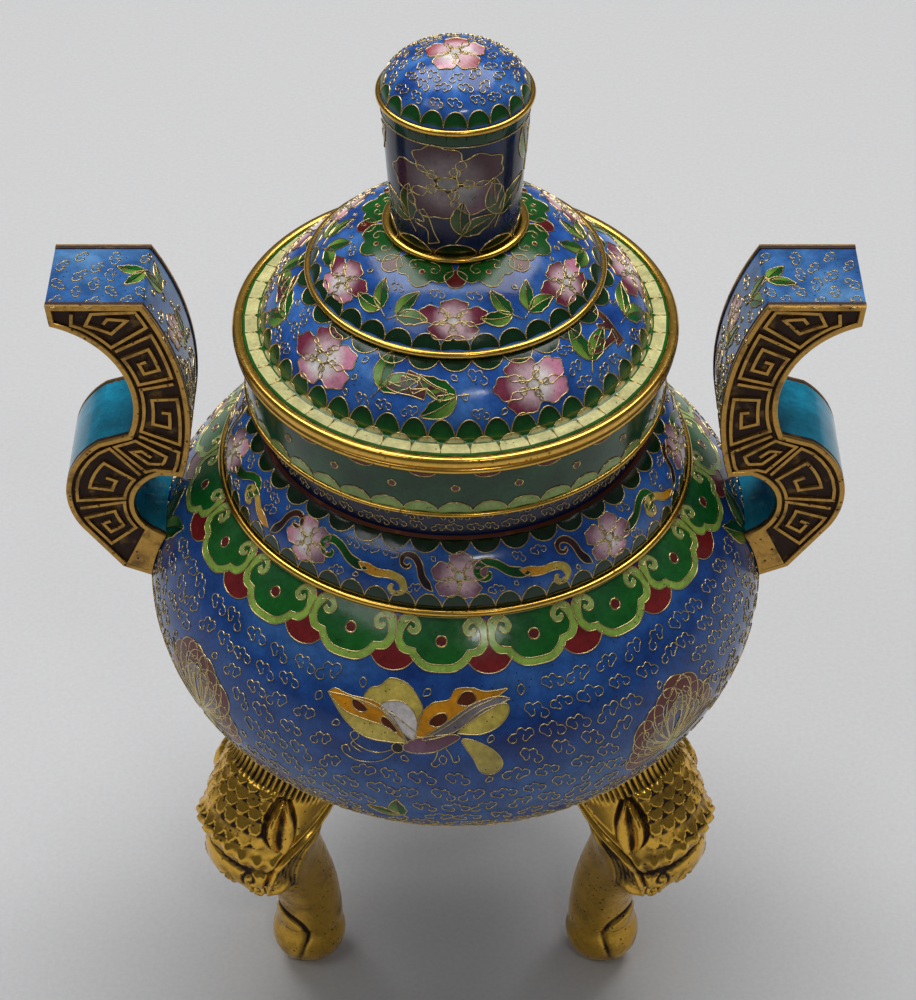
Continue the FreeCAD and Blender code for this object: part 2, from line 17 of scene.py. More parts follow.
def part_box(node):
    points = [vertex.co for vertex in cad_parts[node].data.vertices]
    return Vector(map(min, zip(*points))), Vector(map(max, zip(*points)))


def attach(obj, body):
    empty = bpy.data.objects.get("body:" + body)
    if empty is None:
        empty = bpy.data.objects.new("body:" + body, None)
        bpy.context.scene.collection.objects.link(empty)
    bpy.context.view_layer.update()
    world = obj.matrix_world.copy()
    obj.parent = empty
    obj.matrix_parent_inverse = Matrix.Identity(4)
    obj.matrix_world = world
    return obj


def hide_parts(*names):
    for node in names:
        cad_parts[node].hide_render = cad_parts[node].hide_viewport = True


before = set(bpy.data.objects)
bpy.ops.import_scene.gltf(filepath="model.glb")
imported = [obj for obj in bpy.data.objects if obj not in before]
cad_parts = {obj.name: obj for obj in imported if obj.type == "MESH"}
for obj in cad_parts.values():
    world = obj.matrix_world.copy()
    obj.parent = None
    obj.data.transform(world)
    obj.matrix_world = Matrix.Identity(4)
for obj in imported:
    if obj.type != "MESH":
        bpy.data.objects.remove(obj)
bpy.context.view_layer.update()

MM = 0.001
TAU = 2 * math.pi

# heights above the CAD surface; all are negative, so that nothing stands out of the CAD model
GROUND_LIFT = -0.20
CELL_LIFT = -0.14
LEVEL_STEP = 0.012
WIRE_TOP = -0.03
SUNK = -0.5
WIRE_WIDTH = 0.27

WIRE_STEP = 0.42
CELL_GRID = 1.0
GROUND_STEP = 0.8
ROUND_COLUMNS = 360
KNOB_COLUMNS = 160
CLOUD_MARGIN = 0.2
CLOUD_WIRE = 0.21

# arcs of the turned surfaces, and where each starts beyond its neighbour's box
SHOULDER_ARC, LOWER_DOME_ARC, UPPER_DOME_ARC = 13.0, 17.0, 22.0
SHOULDER_TOP_OUT = 0.7
COLLAR_FLARE = 0.65
FLANGE_WIDTH, FLANGE_DROP = 3.1, 0.1
TIER_DROP, TIER_STEP = 0.05, 1.4
KNOB_SEAT_R, KNOB_HOLE_R = 12.6, 10.5
KNOB_TAPER = 1.7

# up the belly's profile: below this the ground fades to a grey that is a painted reflection of the pale
# floor, over this length
SHEEN_TOP, SHEEN_FADE = 62, 34


def linear(r, g, b):
    """Linear colour from an 8-bit display colour."""
    return np.array([((v / 255 + 0.055) / 1.055) ** 2.4 if v > 10 else v / 255 / 12.92 for v in (r, g, b)])


BLUE = linear(38, 88, 166)
BLUE_LIGHT = linear(70, 122, 192)
BLUE_DEEP = linear(20, 54, 128)
# grey blue for the belly's lower part: a painted reflection of the pale floor in the glossy enamel
BLUE_FLOOR_SHEEN = linear(66, 98, 132)
GREYER = np.array([1.3, 1.0, 0.72])
NIGHT = linear(20, 28, 62)
GREEN = linear(20, 94, 30)
GREEN_DARK = linear(14, 56, 26)
GREEN_MID = linear(34, 88, 48)
LIME = linear(140, 176, 70)
CREAM = linear(206, 200, 140)
CREAM_GREEN = linear(150, 172, 96)
WHITE = linear(226, 220, 218)
GREY = linear(150, 142, 146)
PINK = linear(206, 134, 160)
PLUM = linear(116, 44, 66)
MAUVE = linear(128, 88, 108)
RED = linear(112, 28, 30)
BROWN = linear(66, 34, 34)
ORANGE = linear(214, 142, 24)
YELLOW = linear(214, 192, 92)
BLACK = linear(20, 18, 26)


def box_mm(node):
    low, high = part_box(node)
    return [v / MM for v in low], [v / MM for v in high]


# ---------------------------------------------------------------- surfaces


def arc_points(a, b, radius, count=40):
    """Points of the shorter arc from a to b, (r, z), bulging away from the axis and upwards."""
    a, b = np.array(a, float), np.array(b, float)
    chord = b - a
    half = np.linalg.norm(chord) / 2
    across = np.array([chord[1], -chord[0]]) / (2 * half)
    if across[0] < 0:
        across = -across
    centre = (a + b) / 2 - across * math.sqrt(radius**2 - half**2)
    start = math.atan2(*(a - centre)[::-1])
    sweep = (math.atan2(*(b - centre)[::-1]) - start + math.pi) % TAU - math.pi
    turns = start + sweep * np.linspace(0, 1, count)
    return centre + radius * np.stack([np.cos(turns), np.sin(turns)], 1)


class Turned:
    """Surface of revolution over a profile of (r, z) points that runs upwards or inwards."""

    def __init__(self, points):
        points = np.array(points, float)
        keep = np.concatenate([[True], np.linalg.norm(np.diff(points, axis=0), axis=1) > 1e-6])
        self.r, self.z = points[keep].T
        steps = np.hypot(np.diff(self.r), np.diff(self.z))
        self.s = np.concatenate([[0], np.cumsum(steps)])
        self.length = self.s[-1]
        slope_r, slope_z = np.gradient(self.r, self.s), np.gradient(self.z, self.s)
        size = np.hypot(slope_r, slope_z)
        self.normal_r, self.normal_z = slope_z / size, -slope_r / size

    def radius(self, s):
        return np.interp(s, self.s, self.r)

    def place(self, turn, s, xy, lift):
        """3-D points of a flat motif whose origin lies at (turn, s)."""
        xy = np.asarray(xy, float)
        along = s + xy[:, 1]
        r = np.interp(along, self.s, self.r)
        angle = turn + xy[:, 0] / np.maximum(r, 0.3)
        r = r + lift * np.interp(along, self.s, self.normal_r)
        z = np.interp(along, self.s, self.z) + lift * np.interp(along, self.s, self.normal_z)
        return np.stack([r * np.sin(angle), -r * np.cos(angle), z], 1)

    def offset(self, turn, s, other_turn, other_s):
        """(x, y) of the place (other_turn, other_s) as seen from (turn, s)."""
        swing = (other_turn - turn + math.pi) % TAU - math.pi
        return swing * self.radius(other_s), other_s - s


class Pole(Turned):
    """The same surface seen from its pole, for a motif that covers the crown; y points to the back."""

    def place(self, turn, s, xy, lift):
        xy = np.asarray(xy, float)
        distance = np.hypot(xy[:, 0], xy[:, 1])
        along = self.length - distance
        angle = turn + np.arctan2(xy[:, 0], -xy[:, 1])
        r = np.interp(along, self.s, self.r) + lift * np.interp(along, self.s, self.normal_r)
        z = np.interp(along, self.s, self.z) + lift * np.interp(along, self.s, self.normal_z)
        return np.stack([r * np.sin(angle), -r * np.cos(angle), z], 1)


class Strip:
    """Surface swept along Y over a path of (x, z) points; "turn" is a place along Y here."""

    def __init__(self, path, flip):
        self.x, self.z = np.array(path, float).T
        steps = np.hypot(np.diff(self.x), np.diff(self.z))
        self.s = np.concatenate([[0], np.cumsum(steps)])
        self.length = self.s[-1]
        slope_x, slope_z = np.gradient(self.x, self.s), np.gradient(self.z, self.s)
        size = np.hypot(slope_x, slope_z) * flip
        self.normal_x, self.normal_z = slope_z / size, -slope_x / size
        self.side = flip

    def place(self, turn, s, xy, lift):
        xy = np.asarray(xy, float)
        along = s + xy[:, 1]
        x = np.interp(along, self.s, self.x) + lift * np.interp(along, self.s, self.normal_x)
        z = np.interp(along, self.s, self.z) + lift * np.interp(along, self.s, self.normal_z)
        return np.stack([x, turn + self.side * xy[:, 0], z], 1)

    def offset(self, turn, s, other_turn, other_s):
        return self.side * (other_turn - turn), other_s - s


# ---------------------------------------------------------------- meshes


class Mesh:
    """Gathers vertices, faces and vertex colours for one piece."""

    def __init__(self):
        self.verts, self.faces, self.colours, self.count = [], [], [], 0

    def add(self, verts, faces, colours=None, caps=()):
        """caps are more faces over the same vertices, with another count of corners."""
        verts = np.asarray(verts, float)
        if colours is None:
            colours = np.ones(3)
        self.verts.append(verts)
        self.colours.append(np.broadcast_to(colours, (len(verts), 3)))
        self.faces.append(np.asarray(faces, int) + self.count)
        if len(caps):
            self.faces.append(np.asarray(caps, int) + self.count)
        self.count += len(verts)

    def piece(self, name, material, body, slot, nodes=(), corner=40):
        """Makes the Blender object, rides it on its CAD body and hides the nodes it stands for.

        Edges that turn by more than corner degrees stay sharp; None keeps them all soft.
        """
        verts = np.concatenate(self.verts) * MM
        faces = [tuple(f) for block in self.faces for f in block.tolist()]
        mesh = bpy.data.meshes.new(name)
        mesh.from_pydata(verts.tolist(), [], faces)
        tint = mesh.color_attributes.new("tint", "FLOAT_COLOR", "POINT")
        colours = np.ones((len(verts), 4), np.float32)
        colours[:, :3] = np.concatenate(self.colours)
        tint.data.foreach_set("color", colours.ravel())
        mesh.polygons.foreach_set("use_smooth", [True] * len(mesh.polygons))
        if corner is not None:
            mesh.set_sharp_from_angle(angle=math.radians(corner))
        mesh.materials.append(material)
        mesh.update()
        piece = bpy.data.objects.new(name, mesh)
        bpy.context.scene.collection.objects.link(piece)
        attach(piece, body)
        if nodes:
            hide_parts(*nodes)
        return piece


def ring_faces(rows, columns, closed_rows=False):
    """Quads of a grid of vertices that wraps round its columns."""
    row = np.arange(rows if closed_rows else rows - 1)
    i, j = np.meshgrid(row, np.arange(columns), indexing="ij")
    below, above = i * columns, (i + 1) % rows * columns
    nxt = (j + 1) % columns
    return np.stack([below + j, below + nxt, above + nxt, above + j], -1).reshape(-1, 4)


def lathe(mesh, section):
    """Closed section of (r, z) points, anticlockwise, turned about the axis."""
    section = np.array(section, float)
    angle = np.arange(ROUND_COLUMNS) * TAU / ROUND_COLUMNS
    r, z = (np.repeat(section[:, k][:, None], ROUND_COLUMNS, 1) for k in (0, 1))
    verts = np.stack([r * np.sin(angle), -r * np.cos(angle), z], -1).reshape(-1, 3)
    mesh.add(verts, ring_faces(len(section), ROUND_COLUMNS, True))


def bead(mesh, radius, z, half_width, half_height, points=14):
    """Ring of rounded section."""
    turns = np.arange(points) * TAU / points
    shape = np.sign(np.cos(turns)) * np.abs(np.cos(turns)) ** 0.8
    section = np.stack([radius + half_width * shape, z + half_height * np.sin(turns)], 1)
    lathe(mesh, section)


def ground(mesh, surface, colour_of, high=None, columns=ROUND_COLUMNS):
    """Closed enamel coat over a turned surface, coloured by colour_of(turn, s)."""
    high = surface.length if high is None else high
    rows = max(3, int(high / GROUND_STEP) + 1)
    along = np.linspace(0.0, high, rows)
    turns = np.arange(columns) * TAU / columns
    coat = []
    # the hidden side needs only every other row
    for lift, order in ((GROUND_LIFT, along), (SUNK, along[::-2])):
        for s in order:
            one = surface.place(0, s, [(0, 0)], lift)[0]
            r = math.hypot(one[0], one[1])
            coat.append(np.stack([r * np.sin(turns), -r * np.cos(turns), np.full(columns, one[2])], 1))
    colours = np.array([[colour_of(t, s) for t in turns] for s in along])
    both = np.concatenate([colours, colours[::-2]])
    mesh.add(np.concatenate(coat), ring_faces(len(both), columns, True), both.reshape(-1, 3))


# ---------------------------------------------------------------- flat drawing


def curve(points, closed=True, step=WIRE_STEP):
    """Smooth curve through control points, in even steps. A point given twice in a row makes a corner."""
    p = np.array(points, float)
    count = len(p)
    order = range(count) if closed else range(count - 1)
    out = []
    for i in order:
        a = p[(i - 1) % count] if closed or i > 0 else p[i]
        b, c = p[i], p[(i + 1) % count]
        d = p[(i + 2) % count] if closed or i + 2 < count else c
        if np.allclose(b, c):
            continue
        parts = max(1, int(round(np.linalg.norm(c - b) / step)))
        t = (np.arange(parts) / parts)[:, None]
        out.append(
            0.5 * (2 * b + (c - a) * t + (2 * a - 5 * b + 4 * c - d) * t**2 + (3 * b - a - 3 * c + d) * t**3)
        )
    if not closed:
        out.append(p[-1:])
    return np.concatenate(out)


def moved(points, x=0.0, y=0.0, roll=0.0, size=1.0, mirror=1):
    """Flat points mirrored and scaled, then turned by roll, then shifted."""
    p = np.array(points, float) * size * np.array([mirror, 1])
    c, s = math.cos(roll), math.sin(roll)
    return p @ np.array([[c, s], [-s, c]]) + np.array([x, y])


def circle(radius, x=0.0, y=0.0, points=14):
    t = np.arange(points) * TAU / points
    return np.stack([x + radius * np.cos(t), y + radius * np.sin(t)], 1)


def inside(points, outline):
    """Which of the points lie inside the outline."""
    x, y = points[:, 0][:, None], points[:, 1][:, None]
    x0, y0 = outline.T
    x1, y1 = np.roll(outline, -1, 0).T
    crosses = (y0 > y) != (y1 > y)
    gap = np.where(np.abs(y1 - y0) < 1e-9, 1e-9, y1 - y0)
    left = x < (x1 - x0) * (y - y0) / gap + x0
    return (crosses & left).sum(1) % 2 == 1


def slab(outline, inner=()):
    """Points of a filled outline, and the faces of a slab over two copies of them, the upper first."""
    flat = [Vector(p) for p in (*outline, *inner)]
    made = delaunay_2d_cdt(flat, [], [list(range(len(outline)))], 1, 1e-5)
    flat = np.array([tuple(v) for v in made[0]])
    top = np.array([f for f in made[2] if len(f) == 3])
    if len(top) == 0:
        return flat, top
    count = len(flat)
    sides = {(a, b): True for k in (0, 1, 2) for a, b in top[:, [k, (k + 1) % 3]].tolist()}
    rim = [(a, b) for a, b in sides if (b, a) not in sides]
    walls = [(b, a, a + count) for a, b in rim] + [(b, a + count, b + count) for a, b in rim]
    return flat, np.concatenate([top, top[:, ::-1] + count, walls])


def plain(colour):
    """Shade that is one colour with a slight change across it."""
    return lambda p: colour * (1 + 0.05 * np.sin(p[:, :1] * 2.1 + p[:, 1:] * 1.3))


def blend(near, far, centre=(0, 0), start=0.0, end=1.0):
    """Shade that goes from near to far with the distance from centre."""

    def shade(p):
        distance = np.hypot(p[:, 0] - centre[0], p[:, 1] - centre[1])
        t = np.clip((distance - start) / (end - start), 0, 1)[:, None]
        t = t * t * (3 - 2 * t)
        return near * (1 - t) + far * t

    return shade


class Art:
    """Everything drawn on one surface: enamel cells, gilt wires, and where clouds may not go."""

    def __init__(self, surface):
        self.surface, self.cells, self.wires, self.taken = surface, Mesh(), Mesh(), []

    def cell(self, turn, s, outline, shade, level=1, wired=True):
        """One enamel cell, filled to its outline and bounded by a wire."""
        outline = np.asarray(outline, float)
        area = np.sum(outline[:, 0] * np.roll(outline[:, 1], -1) - outline[:, 1] * np.roll(outline[:, 0], -1))
        if area < 0:
            outline = outline[::-1]
        low, high = outline.min(0), outline.max(0)
        grid = np.stack(
            np.meshgrid(*(np.arange(low[k] + CELL_GRID / 2, high[k], CELL_GRID) for k in (0, 1))), -1
        ).reshape(-1, 2)
        if len(grid):
            near = np.linalg.norm(grid[:, None] - outline[None], axis=2).min(1) > 0.35 * CELL_GRID
            grid = grid[near & inside(grid, outline)]
        flat, faces = slab(outline, grid)
        if len(faces) == 0:
            return
        count = len(flat)
        lift = CELL_LIFT + LEVEL_STEP * level
        verts = [self.surface.place(turn, s, flat, h) for h in (lift, SUNK)]
        colours = np.broadcast_to(shade(flat), (count, 3))
        self.cells.add(np.concatenate(verts), faces, np.concatenate([colours, colours]))
        if wired:
            self.wire(turn, s, outline)

    def wire(self, turn, s, points, closed=True, width=WIRE_WIDTH):
        """Low rounded gilt wire along a flat curve."""
        p = np.asarray(points, float)
        if len(p) < 3:
            return
        ahead = np.roll(p, -1, 0) - np.roll(p, 1, 0)
        if not closed:
            ahead[0], ahead[-1] = p[1] - p[0], p[-1] - p[-2]
        ahead /= np.maximum(np.linalg.norm(ahead, axis=1), 1e-9)[:, None]
        across = np.stack([-ahead[:, 1], ahead[:, 0]], 1)
        section = ((-0.5, GROUND_LIFT - 0.1), (-0.28, WIRE_TOP), (0.28, WIRE_TOP), (0.5, GROUND_LIFT - 0.1))
        rows = [self.surface.place(turn, s, p + across * width * k, lift) for k, lift in section]
        verts = np.stack(rows, 1).reshape(-1, 3)
        faces = ring_faces(len(p), 4, closed)[:, ::-1]
        if not closed:
            last = (len(p) - 1) * 4
            faces = np.concatenate([faces, [(0, 1, 2, 3), (last + 3, last + 2, last + 1, last)]])
        self.wires.add(verts, faces)

    def keep(self, turn, s, outline):
        """Clouds stay off this outline."""
        self.taken.append((turn, s, np.asarray(outline, float)))

    def motif(self, turn, s, cells, wires=(), keep=True):
        """Cells are (outline, shade, level); wires are open curves."""
        for outline, shade, level in cells:
            self.cell(turn, s, outline, shade, level)
            if keep:
                self.keep(turn, s, outline)
        for points in wires:
            self.wire(turn, s, points, closed=False)

    def free(self, turn, s, reach):
        """Whether nothing drawn so far lies within reach of (turn, s)."""
        for own_turn, own_s, outline in self.taken:
            at = np.array([self.surface.offset(own_turn, own_s, turn, s)])
            gap = np.linalg.norm(outline - at, axis=1).min()
            if gap < reach + CLOUD_MARGIN or inside(at, outline)[0]:
                return False
        return True

    def clouds(self, low, high, rng, pitch=4.7, size=1.75, circumference=None, start=0.0):
        """Fills the bare ground between low and high with cloud wires."""
        rows = max(1, int(round((high - low) / (pitch * 0.76))))
        for row in range(rows):
            s = low + (row + 0.5) * (high - low) / rows
            around = circumference or TAU * self.surface.radius(s)
            unit = 1.0 if circumference else 1 / self.surface.radius(s)
            count = max(1, int(around / pitch))
            for k in range(count):
                place = (k + (row % 2) / 2 + rng.uniform(-0.12, 0.12)) * around / count
                turn = start + place * unit
                at = s + rng.uniform(-0.35, 0.35)
                scale = size * rng.uniform(0.86, 1.08)
                lean, mirror = rng.uniform(-0.35, 0.35), rng.choice((1, 1, -1))
                if self.free(turn, at, scale * 0.9):
                    outline = moved(cloud(), roll=lean, size=scale, mirror=mirror)
                    self.wire(turn, at, outline, closed=False, width=CLOUD_WIRE)
                elif self.free(turn, at, scale * 0.5):
                    drop = curve([(0, -1), (0.7, 0.2), (0, 1), (-0.7, 0.2)], step=0.5)
                    self.wire(turn, at, moved(drop, roll=3 * lean, size=scale * 0.42), width=0.24)

    def pieces(self, part, body, slot, ending="_enamel_cells"):
        """Makes the cells, in place of the part's CAD enamel, and the wires."""
        self.cells.piece(part + ending, ENAMEL, body, slot, (part + "_enamel",))
        self.wires.piece(part + "_wires", WIRE_GILT, body, "gilt_wire", corner=None)


def cloud():
    """Open wire bent into a cloud: round lobes above, and both ends curled in below."""
    return curve([
        (-0.22, 0.12), (-0.12, -0.28), (-0.38, -0.52), (-0.66, -0.22), (-1.05, 0.10), (-0.95, 0.55),
        (-0.55, 0.64), (-0.36, 0.46), (-0.02, 0.74), (0.36, 0.56), (0.44, 0.26), (0.86, 0.16), (1.12, -0.24),
        (0.82, -0.62), (0.44, -0.50), (0.40, -0.20),
    ], closed=False, step=0.2)


# ---------------------------------------------------------------- motifs


def scallops(art, s, count, height, shade, up=True, level=1, start=0.0, fill=0.5):
    """Row of half-round cells that stand on the line at s, or hang from it."""
    pitch = TAU * art.surface.radius(s) / count
    t = np.linspace(0, math.pi, 13)
    sign = 1 if up else -1
    arch = np.stack([fill * pitch * np.cos(t), sign * height * np.sin(t)], 1)
    for k in range(count):
        turn = start + k * TAU / count
        art.cell(turn, s, arch, shade, level, wired=False)
        art.wire(turn, s, arch, closed=False, width=0.26)


def blossom_parts(size=5.0, turn=0.0, petals=5, palette=(WHITE, PINK, PLUM), flat=1.0, seed=0):
    """Plum blossom: lobed petals that darken outwards, and a few stamens."""
    rng = random.Random(seed)
    cells, wires = [], []
    for k in range(petals):
        angle = turn + k * TAU / petals + rng.uniform(-0.1, 0.1)
        lobes = np.linspace(0, TAU, 25)[:-1]
        radius = 0.40 * (1 + 0.09 * np.cos(6 * lobes + rng.uniform(-0.6, 0.6)))
        reach = rng.uniform(0.94, 1.06)
        petal = np.stack([0.60 * reach + radius * np.cos(lobes), 1.06 * radius * np.sin(lobes)], 1)
        petal = moved(petal, roll=angle, size=size) * np.array([1, flat])
        white = rng.random() < 0.3
        near, far = (palette[0], palette[1]) if white else (palette[1] * 0.5 + palette[0] * 0.5, palette[2])
        cells.append((curve(petal, step=0.5), blend(near, far, (0, 0), 0.3 * size, 1.0 * size * flat), 1))
    heart = circle(0.17 * size) * np.array([1, flat])
    cells.append((curve(heart, step=0.4), plain(palette[0] * 0.8), 2))
    for k in range(petals):
        angle = turn + (k + 0.5) * TAU / petals
        tip = np.array([math.cos(angle), flat * math.sin(angle)]) * 0.33 * size
        cells.append((curve(circle(0.085 * size, *tip, points=8), step=0.3), plain(palette[0] * 0.7), 3))
        wires.append(curve([tip * 0.4, tip * 0.8], closed=False, step=0.3))
    return cells, wires


def leaf_parts(length=7.0, width=3.0, bend=0.25, light=LIME, dark=GREEN_DARK, middle=GREEN):
    """Pointed leaf along +x, light on one side of its rib and dark on the other."""
    t = np.linspace(0, 1, 12)
    rib = np.stack([length * t, bend * length * t * (1 - t)], 1)
    swell = width / 2 * np.sin(math.pi * t**0.8) ** 0.9
    ripple = 1 + 0.10 * np.sin(t * 22)
    over = rib + np.stack([0 * t, swell], 1)
    under = rib - np.stack([0 * t, swell * ripple], 1)
    upper = np.concatenate([rib, over[-2:0:-1]])
    lower = np.concatenate([rib, under[-2:0:-1]])
    return [
        (upper, blend(light, middle, (0, width), 0, length), 1),
        (lower, blend(middle, dark, (length * 0.2, 0), 0, length * 0.7), 1),
    ]


def branch_parts(size=1.0, colour=BROWN):
    """Forked twig."""
    outline = [
        (-4.2, -1.2), (-4.2, -1.2), (-1.2, -0.9), (2.6, -1.1), (5.0, -0.7), (5.0, -0.7), (5.0, 0.7),
        (5.0, 0.7), (1.8, 0.5), (2.6, 2.6), (2.6, 2.6), (1.5, 3.0), (1.5, 3.0), (-0.2, 0.7), (-2.2, 0.9),
    (-4.2, 1.6), (-4.2, 1.6), ]
    return [
        (curve(moved(outline, size=size), step=0.5), blend(colour, colour * 2.1, (0, -1), 0, 5 * size), 1)
    ]


def scroll_parts(size, near, far):
    """Curled tendril, thick in the middle, with a hooked end."""
    outline = [
        (-4.6, -0.6), (-4.6, -0.6), (-3.0, -1.5), (-0.8, -1.3), (1.4, -0.4), (3.0, -0.3), (3.9, -1.2),
        (3.3, -2.1), (2.5, -1.7), (2.7, -1.1), (2.0, -1.2), (2.0, -2.3), (3.2, -2.9), (4.7, -2.0),
        (4.8, -0.4), (3.6, 0.9), (1.4, 1.0), (-0.8, 0.2), (-2.8, 0.1),
    ]
    return [(curve(moved(outline, size=size), step=0.4), blend(near, far, (-3 * size, 0), 0, 7 * size), 1)]


def place_parts(art, turn, s, cells, wires=(), keep=True, **move):
    """Lays a motif's parts on a surface, moved within its own plane first."""
    laid = [(moved(o, **move), moved_shade(shade, **move), level) for o, shade, level in cells]
    art.motif(turn, s, laid, [moved(w, **move) for w in wires], keep)


def moved_shade(shade, x=0.0, y=0.0, roll=0.0, size=1.0, mirror=1):
    """The shade of a moved outline: points are taken back to the motif's own plane."""
    c, s = math.cos(roll), math.sin(roll)

    def back(p):
        q = (p - np.array([x, y])) @ np.array([[c, -s], [s, c]])
        return shade(q / size * np.array([mirror, 1]))

    return back


def leaf_pair(art, turn, s, size=1.0, lean=0.0, spread=1.0, depth=1.0):
    """Two leaves that part from one stem; depth below 1 darkens them."""
    for sign in (1, -1):
        cells = leaf_parts(6.6 * size, 3.1 * size, 0.22, LIME * depth, GREEN_DARK * depth, GREEN * depth)
        place_parts(art, turn, s, cells, roll=lean + sign * 0.55 * spread)
    base = np.array([math.cos(lean), math.sin(lean)]) * -2.0 * size
    art.wire(turn, s, curve([(0, 0), tuple(base * 0.6), tuple(base)], closed=False), closed=False)


def ruyi_lappet(art, turn, s, width=16.6):
    """Cloud-headed lappet hanging from the line at s, with its hooks and a ringed red spot."""
    k = width / 17.2
    half = [
        (0, -10.6), (2.9, -10.3), (5.0, -8.8), (5.7, -7.7), (5.7, -7.7), (7.5, -7.3), (8.6, -5.4),
        (8.4, -2.9), (7.5, -1.0), (5.9, 0), (5.9, 0)
    ]
    inner = [
        (0, -9.2), (2.6, -8.9), (4.3, -7.4), (4.7, -6.5), (4.7, -6.5), (6.4, -6.2), (7.2, -4.9), (6.9, -3.2),
        (5.9, -1.6), (4.6, -0.5), (4.6, -0.5)
    ]
    hook = [
        (7.3, -0.9), (7.3, -0.9), (5.8, -0.4), (4.5, -1.0), (3.8, -2.4), (4.4, -3.7), (5.6, -3.9),
        (6.3, -3.1), (5.8, -2.5), (5.3, -3.0), (4.8, -2.6), (5.0, -1.9), (6.0, -1.5), (7.1, -1.9),
    ]
    for points, shade, level in (
        (half, blend(CREAM_GREEN, LIME, (0, -2), 2, 10), 2),
        (inner, blend(GREEN_MID, GREEN, (-3, -1), 0, 9), 3),
    ):
        both = points + [(-x, y) for x, y in reversed(points) if x > 0]
        outline = curve(moved(both, size=k), step=0.45)
        art.cell(turn, s, outline, shade, level)
        art.keep(turn, s, outline)
    for mirror in (1, -1):
        art.cell(turn, s, curve(moved(hook, size=k, mirror=mirror), step=0.35), plain(CREAM_GREEN), 4)
    spot = moved(circle(1.05), y=-4.9 * k, size=k)
    art.cell(turn, s, spot, plain(linear(96, 34, 30)), 4)
    art.wire(turn, s, spot, width=0.45)


def fan(art, turn, s, size=1.0):
    """Dark-red wedge that shows between two lappets."""
    outline = [
        (-0.8, -1), (-0.8, -1), (0.8, -1), (0.8, -1), (4.4, -8.4), (4.4, -8.4), (2.6, -10.4), (0, -11.1),
        (-2.6, -10.4), (-4.4, -8.4), (-4.4, -8.4),
    ]
    arc = curve(moved(outline[5:-1], size=size), closed=False)
    outline = curve(moved(outline, size=size))
    art.cell(turn, s, outline, blend(RED * 0.75, RED * 1.15, (0, -3), 0, 8), 1, wired=False)
    art.wire(turn, s, arc, closed=False)
    art.keep(turn, s, outline)


